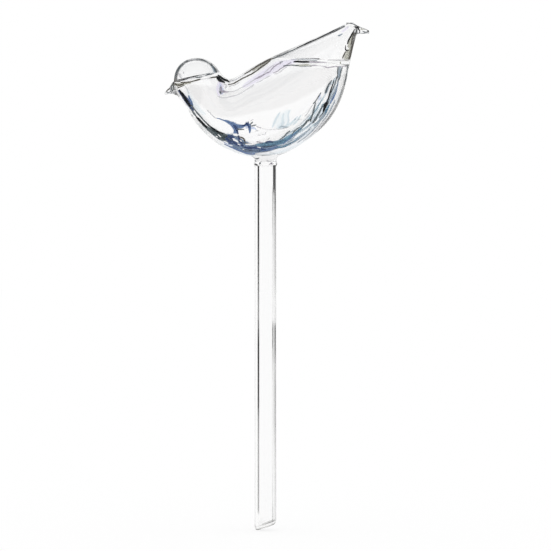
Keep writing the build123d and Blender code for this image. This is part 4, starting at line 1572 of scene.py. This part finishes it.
@dataclass
class DrawnDrop:
    """A solid drop of glass drawn out from the bird: its beak or its tail tip.

    Attributes:
        name: the piece's name.
        node: the CAD node that it replaces.
        bird: the bird that it is drawn from.
        root: where it leaves the bird, as shares of the bird's length and height.
        droop: how far it slants down, in degrees.
        facing: -1 towards the head, 1 towards the tail.
        length: its length, without the rounding of its tip.
        root_radius: its radius at the root.
        tip_radius: its radius at the tip.
        flank: distances along it and radii between root and tip, both as shares.
        strokes: the table of strokes of painted shade on its side towards the camera.
        lumps: how high the lumps stand that flame-working leaves.
        lump_pitch: the distance between the lumps.
        hook: how far its tip curls down.
        hook_bend: how late it begins to curl, as a power of the distance along it.
        rooted: how far it reaches back into the bird before it is cut off there.
        bite: how far it stands in the bird's glass.
        bubbles: the greatest number of air bubbles in it.
        bubble_radii: the least and the greatest radius of a bubble.
        bubble_depth: how deep the bubbles lie.
        bubble_start: how far from the root the first may lie.
        bubble_density: places to choose from for bubbles, on a square metre.
        seed: sets the lumps and the bubbles.
        sides: number of points round it.
        stations: number of rings along it.
        smoothing: number of rings over which its radius is evened out.
        tip_rings: number of rings that round its tip.
    """

    name: str
    node: str
    bird: BlownBird
    root: Pair
    droop: float
    facing: int
    length: float
    root_radius: float
    tip_radius: float
    flank: tuple[Pair, ...]
    strokes: tuple
    lumps: float = 0.45 * MM
    lump_pitch: float = 2.4 * MM
    hook: float = 0.5 * MM
    hook_bend: int = 3
    rooted: float = 3.0 * MM
    bite: float = 0.35 * MM
    bubbles: int = 9
    bubble_radii: Pair = (0.18 * MM, 0.42 * MM)
    bubble_depth: float = 0.75 * MM
    bubble_start: float = 1.6 * MM
    bubble_density: float = 3.0e5
    seed: int = 5
    sides: int = 48
    stations: int = 44
    smoothing: int = 5
    tip_rings: int = 5

    def build(self) -> Object:
        """Makes the drop.

        Returns:
            The finished piece.
        """
        slope = math.radians(self.droop)
        along = np.array([self.facing * math.cos(slope), 0, -math.sin(slope)])
        side = np.array([0, 1, 0])
        rise = np.cross(along, side) * self.facing
        root = self.bird.point(*self.root)
        stops = np.array([(0, 1.0), *self.flank, (1.0, 0.0)])
        at = np.linspace(0, 1, self.stations)
        taper = np.interp(at, stops[:, 0], stops[:, 1])
        padded = np.pad(taper, self.smoothing // 2, mode="edge")
        taper = np.convolve(padded, np.ones(self.smoothing) / self.smoothing, mode="valid")
        radii = self.tip_radius + taper * (self.root_radius - self.tip_radius)
        places = [(-self.rooted, self.root_radius)] + [(a * self.length, r) for a, r in zip(at, radii)]
        places += [
            (self.length + self.tip_radius * math.sin(a), self.tip_radius * math.cos(a))
            for a in np.linspace(0, math.pi / 2, self.tip_rings + 2)[1:-1]
        ]
        angle = np.linspace(0, WHOLE_TURN, self.sides, endpoint=False)
        rings = []
        for far, radius in places:
            curl = -self.hook * max(far / self.length, 0) ** self.hook_bend
            centre = root + along * far + rise * curl
            ring = []
            for a in angle:
                outwards = rise * math.cos(a) + side * math.sin(a) * self.facing
                spot = centre + outwards * radius
                lump = noise.noise(Vector(spot / self.lump_pitch) + Vector((self.seed, 0, 0)))
                fade = min(1.0, radius / (2 * self.tip_radius))
                ring.append(spot + outwards * lump * self.lumps * fade)
            rings.append(ring)
        tip = root + along * (self.length + self.tip_radius) - rise * self.hook
        drop = Skin(np.array(rings), root - along * self.rooted, tip)
        piece = new_piece(self.name, drop.vertices(), drop.faces())
        glass = PaintedLightGlassFinish(
            self.name + "_borosilicate", grazing=(0.58, 0.80), total=(0.262, 0.40), line_strength=0.95,
            uneven_pitch=1.8 * MM, unevenness=0.25, ripple_pitch=1.3 * MM, ripple_height=0.22 * MM,
        ).build()
        piece.data.materials.append(glass)
        inner = self.bird.outer_skin(*self.bird.rough).sunk(self.bite)
        cut_away(piece, new_piece("cutter", inner.vertices(), inner.faces()))
        run_tree(piece, self.bubble_tree(), {
            "Seed": self.seed, "Count": self.bubbles, "Root": tuple(root), "Along": tuple(along),
            "Smallest": self.bubble_radii[0], "Largest": self.bubble_radii[1],
            "Depth": self.bubble_depth, "Start": self.bubble_start, "Density": self.bubble_density,
            "Glass": glass,
        })
        # Painted shade on the drop's side towards the camera
        paint(piece, (), self.strokes)
        finish_piece(piece, self.node, sharp_degrees=50)
        return piece

    def bubble_tree(self) -> NodeTree:
        """The tree that sets small air bubbles under the drop's surface.

        Returns:
            The tree, with named inputs.
        """
        tree, group = new_tree(self.name + "_bubbles", {
            **dict.fromkeys(("Seed", "Count"), "NodeSocketInt"),
            **dict.fromkeys(("Root", "Along"), "NodeSocketVector"),
            **dict.fromkeys(("Smallest", "Largest", "Depth", "Start", "Density"), "NodeSocketFloat"),
            "Glass": "NodeSocketMaterial",
        })
        given = group.outputs
        place = add(tree, "GeometryNodeInputPosition")
        offset = add(tree, "ShaderNodeVectorMath", [place, given["Root"]], operation="SUBTRACT")
        far = add(
            tree, "ShaderNodeVectorMath", [offset, given["Along"]], output="Value", operation="DOT_PRODUCT",
        )
        clear = add(
            tree, "FunctionNodeCompare", [far, given["Start"]], data_type="FLOAT", operation="GREATER_THAN",
        )
        spread = add(tree, "GeometryNodeDistributePointsOnFaces", {
            "Mesh": given["Geometry"], "Selection": clear, "Density": given["Density"],
            "Seed": given["Seed"],
        }).node.outputs
        number = add(tree, "GeometryNodeInputIndex")
        few = add(tree, "FunctionNodeCompare", {
            2: number, 3: given["Count"],
        }, data_type="INT", operation="LESS_THAN")
        sunk = add(tree, "ShaderNodeVectorMath", {
            0: spread["Normal"], "Scale": given["Depth"],
        }, operation="SCALE")
        inwards = add(tree, "ShaderNodeVectorMath", {0: sunk, "Scale": -1.0}, operation="SCALE")
        points = add(tree, "GeometryNodeSetPosition", {"Geometry": spread["Points"], "Offset": inwards})
        ball = add(tree, "GeometryNodeMeshIcoSphere", {"Radius": 1.0, "Subdivisions": 3})
        hollow = add(tree, "GeometryNodeFlipFaces", {"Mesh": ball})
        size = add(tree, "FunctionNodeRandomValue", {
            2: given["Smallest"], 3: given["Largest"], "Seed": given["Seed"],
        }, output=1, data_type="FLOAT")
        bubbles = add(tree, "GeometryNodeInstanceOnPoints", {
            "Points": points, "Selection": few, "Instance": hollow, "Scale": size,
        })
        real = add(tree, "GeometryNodeRealizeInstances", [bubbles])
        joined = add(tree, "GeometryNodeJoinGeometry", [given["Geometry"]])
        tree.links.new(real, joined.node.inputs[0])
        made = add(tree, "GeometryNodeSetMaterial", {0: joined, "Material": given["Glass"]})
        add(tree, "NodeGroupOutput", [made])
        return tree


# The stem


@dataclass
class StemTube:
    """The long hollow stem, with its slanted and fire-polished lower end.

    Attributes:
        length: height of its upper end.
        radius: outer radius.
        wall: thickness of the glass.
        slant: slope of the lower end, in degrees.
        lip: radius of the rounded rim towards the bore.
        drawn_in: how far the melted rim has drawn in from outside, and over what height.
        lip_steps: number of rings round the rim, for each of the two.
        sides: number of points round it.
        step: distance between rings along it.
        waver: how far its radius wanders.
        waver_pitch: the distance over which its radius wanders.
        seed: sets how its radius wanders.
        seam: points of the swept tube nearer to one another than this are merged.
    """

    length: float = 201 * MM
    radius: float = 6 * MM
    wall: float = 1.8 * MM
    slant: float = 18.0
    lip: float = 0.4 * MM
    drawn_in: Pair = (1.35 * MM, 3.0 * MM)
    lip_steps: int = 8
    sides: int = 72
    step: float = 2.5 * MM
    waver: float = 0.06 * MM
    waver_pitch: float = 16 * MM
    seed: int = 3
    seam: float = 1e-6

    def build(self) -> Object:
        """Makes the stem.

        Returns:
            The finished piece.
        """
        bore = self.radius - self.wall
        nip, rise = self.drawn_in
        heights = np.linspace(rise, self.length, round(self.length / self.step))
        arc = np.linspace(0, math.pi / 2, self.lip_steps)
        rim = [(bore + self.lip * (1 - math.sin(a)), self.lip * (1 - math.cos(a))) for a in arc[::-1]]
        rim += [(self.radius - nip * (1 - math.sin(a)), rise * (1 - math.cos(a))) for a in arc]
        profile = rim + [(self.radius, z) for z in heights[1:]] + [(bore, z) for z in heights[::-1]]
        middle = self.radius - self.wall / 2
        places = [(r - middle, -z, 0) for r, z in profile]
        mesh = bpy.data.meshes.new("stem_glass")
        edges = [(i, (i + 1) % len(places)) for i in range(len(places))]
        mesh.from_pydata(places, edges, [])
        stem = bpy.data.objects.new("stem_glass", mesh)
        bpy.context.scene.collection.objects.link(stem)
        slope = math.radians(self.slant)
        run_tree(stem, self.tree(), {
            "Middle radius": middle, "Sides": self.sides, "Slope": math.tan(slope),
            "Radius": self.radius, "Length": self.length,
            "Lowest": rise + nip * math.tan(slope) - math.hypot(rise, nip * math.tan(slope)),
            "Waver": self.waver, "Waver pitch": self.waver_pitch, "Seed": self.seed,
            "Outside": TubeFinish(
                "drawn_borosilicate_tube", tint="#FDFDFD", grazing=(0.56, 0.80), total=None,
                line_strength=0.8, ripple_pitch=14 * MM, ripple_height=0.02 * MM,
            ).build(),
            "Bore": BoreFinish(
                "drawn_borosilicate_bore", tint="#FDFDFD", line="#151616", line_strength=1.0,
                ripple_pitch=14 * MM, ripple_height=0.02 * MM,
            ).build(),
        })
        finish_piece(stem, "stem_tube", sharp_degrees=55)
        return stem

    def tree(self) -> NodeTree:
        """The tree that sweeps the wall's section round the axis and slants the lower end.

        Returns:
            The tree, with named inputs.
        """
        numbers = ("Middle radius", "Slope", "Radius", "Length", "Lowest", "Waver", "Waver pitch")
        tree, group = new_tree("drawn_tube", {
            **dict.fromkeys(numbers, "NodeSocketFloat"),
            **dict.fromkeys(("Sides", "Seed"), "NodeSocketInt"),
            **dict.fromkeys(("Outside", "Bore"), "NodeSocketMaterial"),
        })
        given = group.outputs
        profile = add(tree, "GeometryNodeMeshToCurve", {"Mesh": given["Geometry"]})
        circle = add(tree, "GeometryNodeCurvePrimitiveCircle", {
            "Resolution": given["Sides"], "Radius": given["Middle radius"],
        })
        upright = add(tree, "GeometryNodeSetCurveNormal", {"Curve": circle}, mode="Z_UP")
        swept = add(tree, "GeometryNodeCurveToMesh", {"Curve": upright, "Profile Curve": profile})
        tube = add(tree, "GeometryNodeFlipFaces", {"Mesh": swept})
        place = add(tree, "GeometryNodeInputPosition")
        parts = add(tree, "ShaderNodeSeparateXYZ", [place]).node.outputs
        scale = add(tree, "ShaderNodeMath", [1.0, given["Waver pitch"]], operation="DIVIDE")
        wander = add(tree, "ShaderNodeTexNoise", {
            "Vector": place, "W": given["Seed"], "Scale": scale, "Detail": 0.0,
        }, noise_dimensions="4D")
        worked = {"X": parts["X"], "Z": parts["Z"], "one": 1.0, "wander": wander}
        worked |= {name: given[name] for name in numbers}
        for name, operation, first, second in (
            # How far a point is lifted: all of the slant at the lower end, none at the upper end
            ("reach", "ADD", "X", "Radius"),
            ("slanted", "MULTIPLY", "reach", "Slope"),
            ("level", "SUBTRACT", "slanted", "Lowest"),
            ("height", "DIVIDE", "Z", "Length"),
            ("fade", "SUBTRACT", "one", "height"),
            ("lift", "MULTIPLY", "level", "fade"),
            # How far the radius shrinks
            ("less", "SUBTRACT", "wander", "one"),
            ("swell", "MULTIPLY", "less", "Waver"),
            ("grown", "DIVIDE", "swell", "Radius"),
        ):
            pair = [worked[first], worked[second]]
            worked[name] = add(tree, "ShaderNodeMath", pair, operation=operation)
        flat = add(tree, "ShaderNodeCombineXYZ", [parts["X"], parts["Y"]])
        moved = add(tree, "ShaderNodeVectorMath", {0: flat, "Scale": worked["grown"]}, operation="SCALE")
        up = add(tree, "ShaderNodeCombineXYZ", {"Z": worked["lift"]})
        offset = add(tree, "ShaderNodeVectorMath", [moved, up], operation="ADD")
        bent = add(tree, "GeometryNodeSetPosition", {"Geometry": tube, "Offset": offset})
        merged = add(tree, "GeometryNodeMergeByDistance", {
            "Geometry": bent, "Distance": self.seam,
        })
        real = add(tree, "GeometryNodeRealizeInstances", [merged])
        glass = add(tree, "GeometryNodeSetMaterial", {0: real, "Material": given["Outside"]})
        far = add(tree, "ShaderNodeVectorMath", [flat], output="Value", operation="LENGTH")
        bored = add(
            tree, "FunctionNodeCompare", [far, given["Middle radius"]],
            data_type="FLOAT", operation="LESS_THAN",
        )
        made = add(tree, "GeometryNodeSetMaterial", {
            0: glass, "Selection": bored, "Material": given["Bore"],
        })
        add(tree, "NodeGroupOutput", [made])
        return tree


@dataclass
class WeldCollar:
    """The uneven bead and flare of glass where the stem is fused to the belly.

    Attributes:
        bird: the bird that it joins.
        stem: the stem that it joins.
        bead: how far the bead stands out beyond the stem.
        bead_height: the bead's height.
        flare: radius at the belly.
        flare_bend: how late and how sharply the flare turns out, as a power of its height.
        brim: how far inside the flare's radius its upper side begins.
        uneven: how far the bead and the flare wander.
        wanders: for the bead's height and for the radii, how often they wander round the stem, and
            where in the noise they are read.
        bite: how far it stands in the belly's glass.
        overlap: how far it stands over the stem's end.
        clearance: how far it keeps inside the stem's walls, so that no two faces fall together.
        sides: number of points round it.
        steps: number of points up the bead, up the flare, over its upper side and down the bore.
    """

    bird: BlownBird
    stem: StemTube
    bead: float = 0.45 * MM
    bead_height: float = 2.6 * MM
    flare: float = 7.3 * MM
    flare_bend: float = 2.2
    brim: float = 0.4 * MM
    uneven: float = 0.22 * MM
    wanders: tuple = ((1.3, (4.0, 0.0, 0.0)), (2.7, (0.0, 9.0, 0.0)))
    bite: float = 0.3 * MM
    overlap: float = 0.1 * MM
    clearance: float = 0.04 * MM
    sides: int = 96
    steps: tuple[int, int, int, int] = (8, 7, 5, 4)

    def section(self, belly: BVHTree, way: Vector) -> list[Pair]:
        """The outline of the collar's wall in one direction from the axis.

        Args:
            belly: the outside of the belly.
            way: the direction, as a level unit vector.

        Returns:
            The outline's points, as distance from the axis and height.
        """
        stray, lump = (
            noise.noise(way * rate + Vector(shift)) * self.uneven for rate, shift in self.wanders
        )
        bore = self.stem.radius - self.stem.wall + self.clearance
        outside = self.stem.radius - self.clearance
        foot = self.stem.length - self.overlap
        up_bead, up_flare, over, down = self.steps

        def glass_above(radius: float) -> float:
            """The height of the belly's outside over a distance from the axis."""
            return belly.ray_cast(way * radius, Vector((0, 0, 1)))[0].z

        points = [(outside, foot)]
        for share in np.linspace(0, 1, up_bead + 1)[1:]:
            swell = math.sin(math.pi * share) * (self.bead + lump)
            points.append((outside + max(swell, 0), foot + share * (self.bead_height + stray)))
        start = points[-1][1]
        rise = glass_above(self.flare) - start
        for share in np.linspace(0, 1, up_flare + 1)[1:-1]:
            spread = (self.flare + lump - outside) * share ** self.flare_bend
            points.append((outside + spread, start + rise * share))
        widest = self.flare + lump
        points.append((widest, glass_above(widest) + self.bite))
        for radius in np.linspace(self.flare - self.brim, bore, over):
            points.append((radius, glass_above(radius) + self.bite))
        top = points[-1][1]
        points += [(bore, top + (foot - top) * share) for share in np.linspace(0, 1, down + 1)[1:]]
        return points

    def build(self) -> Object:
        """Makes the collar.

        Returns:
            The finished piece.
        """
        skin = self.bird.outer_skin(*self.bird.rough)
        belly = BVHTree.FromPolygons([tuple(map(float, v)) for v in skin.vertices()], skin.faces())
        rows = []
        for angle in np.linspace(0, WHOLE_TURN, self.sides, endpoint=False):
            way = Vector((math.cos(angle), math.sin(angle), 0))
            rows.append([(way.x * r, way.y * r, z) for r, z in self.section(belly, way)])
        count = len(rows[0])
        faces = []
        for i in range(self.sides):
            j = (i + 1) % self.sides
            for k in range(count):
                after = (k + 1) % count
                faces.append((i * count + k, j * count + k, j * count + after, i * count + after))
        collar = new_piece("weld_collar", [point for row in rows for point in row], faces)
        collar.data.materials.append(PaintedLightGlassFinish(
            "fused_borosilicate", grazing=(0.8, 0.97), total=None, line_strength=0.3,
            ripple_pitch=3 * MM, ripple_height=0.08 * MM,
        ).build())
        # Painted highlights, reflection and shade on the collar's side towards the camera
        paint(collar, (), COLLAR_STROKES)
        finish_piece(collar, "neck_weld", sharp_degrees=50)
        return collar


@dataclass
class Studio:
    """A plain white studio, with the camera level with the middle of the globe.

    Attributes:
        distance: from the camera to the stem's axis.
        frame_width: what the picture takes in at the stem's axis.
        centre: the place in the middle of the picture, X and Z.
        sensor: width of the camera's sensor, in millimetres.
        clip: the least and the greatest distance at which the camera sees.
        floor_size: length of the floor's sides.
        floor_gap: how far the floor lies below the stem's end.
        white: sRGB hex of the light all round.
        sky: sRGB hex of the blotches overhead that only water and glass gather.
        sky_start: between which heights of a direction they begin, from 0 level to 1 straight up.
        blotch_scale: how fine the blotches are.
        blotch_reach: how far they shift the height.
        blotch_band: between which shifted heights they reach their full tone.
    """

    distance: float = 1500 * MM
    frame_width: float = 304.3 * MM
    centre: Pair = (5.5 * MM, 140.5 * MM)
    sensor: float = 36.0
    clip: Pair = (0.01, 100.0)
    floor_size: float = 40.0
    floor_gap: float = 0.2 * MM
    white: str = "#FFFFFF"
    sky: str = "#F1F3F6"
    sky_start: Pair = (0.40, 0.52)
    blotch_scale: float = 2.2
    blotch_reach: float = 0.9
    blotch_band: Pair = (0.92, 1.08)

    def camera(self) -> None:
        """Makes the camera and gives it to the scene."""
        data = bpy.data.cameras.new("camera")
        data.sensor_width = self.sensor
        data.lens = self.sensor * self.distance / self.frame_width
        data.clip_start, data.clip_end = self.clip
        eye = bpy.data.objects.new("camera", data)
        eye.location = self.centre[0], -self.distance, self.centre[1]
        eye.rotation_euler = math.pi / 2, 0, 0
        bpy.context.scene.collection.objects.link(eye)
        bpy.context.scene.camera = eye

    def floor(self) -> None:
        """Lays the floor under the stem's end."""
        half = self.floor_size / 2
        corners = [(-half, -half), (half, -half), (half, half), (-half, half)]
        floor = new_piece("floor", [(x, y, -self.floor_gap) for x, y in corners], [(0, 1, 2, 3)])
        floor.data.materials.append(FloorFinish().build())

    def world(self) -> None:
        """Surrounds the globe with white, and with a darker sky that only water and glass gather."""
        world = bpy.data.worlds.new("studio")
        bpy.context.scene.world = world
        world.use_nodes = True
        tree = world.node_tree
        tree.nodes.clear()
        path = add(tree, "ShaderNodeLightPath").node.outputs
        rays = [path["Is Glossy Ray"], path["Is Transmission Ray"]]
        gathered = add(tree, "ShaderNodeMath", rays, operation="MAXIMUM")
        way = add(tree, "ShaderNodeTexCoord")
        height = add(tree, "ShaderNodeSeparateXYZ", [way], output="Z")
        blotches = add(tree, "ShaderNodeTexNoise", {
            "Vector": way, "Scale": self.blotch_scale, "Detail": 3.0, "Roughness": 0.55,
        })
        wavering = add(
            tree, "ShaderNodeMath", [blotches, self.blotch_reach, height], operation="MULTIPLY_ADD",
        )
        high, above = (
            add(tree, "ShaderNodeMapRange", [value, *band], **SMOOTH)
            for value, band in ((wavering, self.blotch_band), (height, self.sky_start))
        )
        both = add(tree, "ShaderNodeMath", [high, above], operation="MULTIPLY")
        white = linear(self.white)
        colour = add(
            tree, "ShaderNodeMix", {0: both, 6: white, 7: linear(self.sky)}, output=2, data_type="RGBA",
        )
        seen, plain = (
            add(tree, "ShaderNodeBackground", {"Color": light, "Strength": 1.0})
            for light in (colour, white)
        )
        shown = add(tree, "ShaderNodeMixShader", [gathered, plain, seen])
        add(tree, "ShaderNodeOutputWorld", {"Surface": shown})


def main() -> None:
    """Builds the globe and its studio, and reports each piece."""
    logging.basicConfig(level=logging.INFO, format="%(name)s: %(message)s")
    bpy.context.scene.view_settings.view_transform = "Standard"
    studio = Studio()
    studio.camera()
    studio.world()
    studio.floor()
    bird = BlownBird()
    bird.build()
    WaterBody(bird).build()
    DrawnDrop(
        "beak_drop", "beak", bird, root=(0.024, 0.520), droop=19.5, facing=-1, length=7.3 * MM,
        root_radius=4.6 * MM, tip_radius=0.7 * MM, flank=((0.25, 0.74), (0.50, 0.40), (0.75, 0.14)),
        strokes=BEAK_STROKES,
    ).build()
    DrawnDrop(
        "tail_drop", "tail_tip", bird, root=(0.966, 0.953), droop=6.0, facing=1, length=9.1 * MM,
        root_radius=3.4 * MM, tip_radius=1.0 * MM, flank=((0.25, 0.70), (0.50, 0.34), (0.75, 0.20)),
        strokes=TAIL_STROKES, seed=11,
    ).build()
    stem = StemTube()
    stem.build()
    WeldCollar(bird, stem).build()


if __name__ == "__main__":
    main()
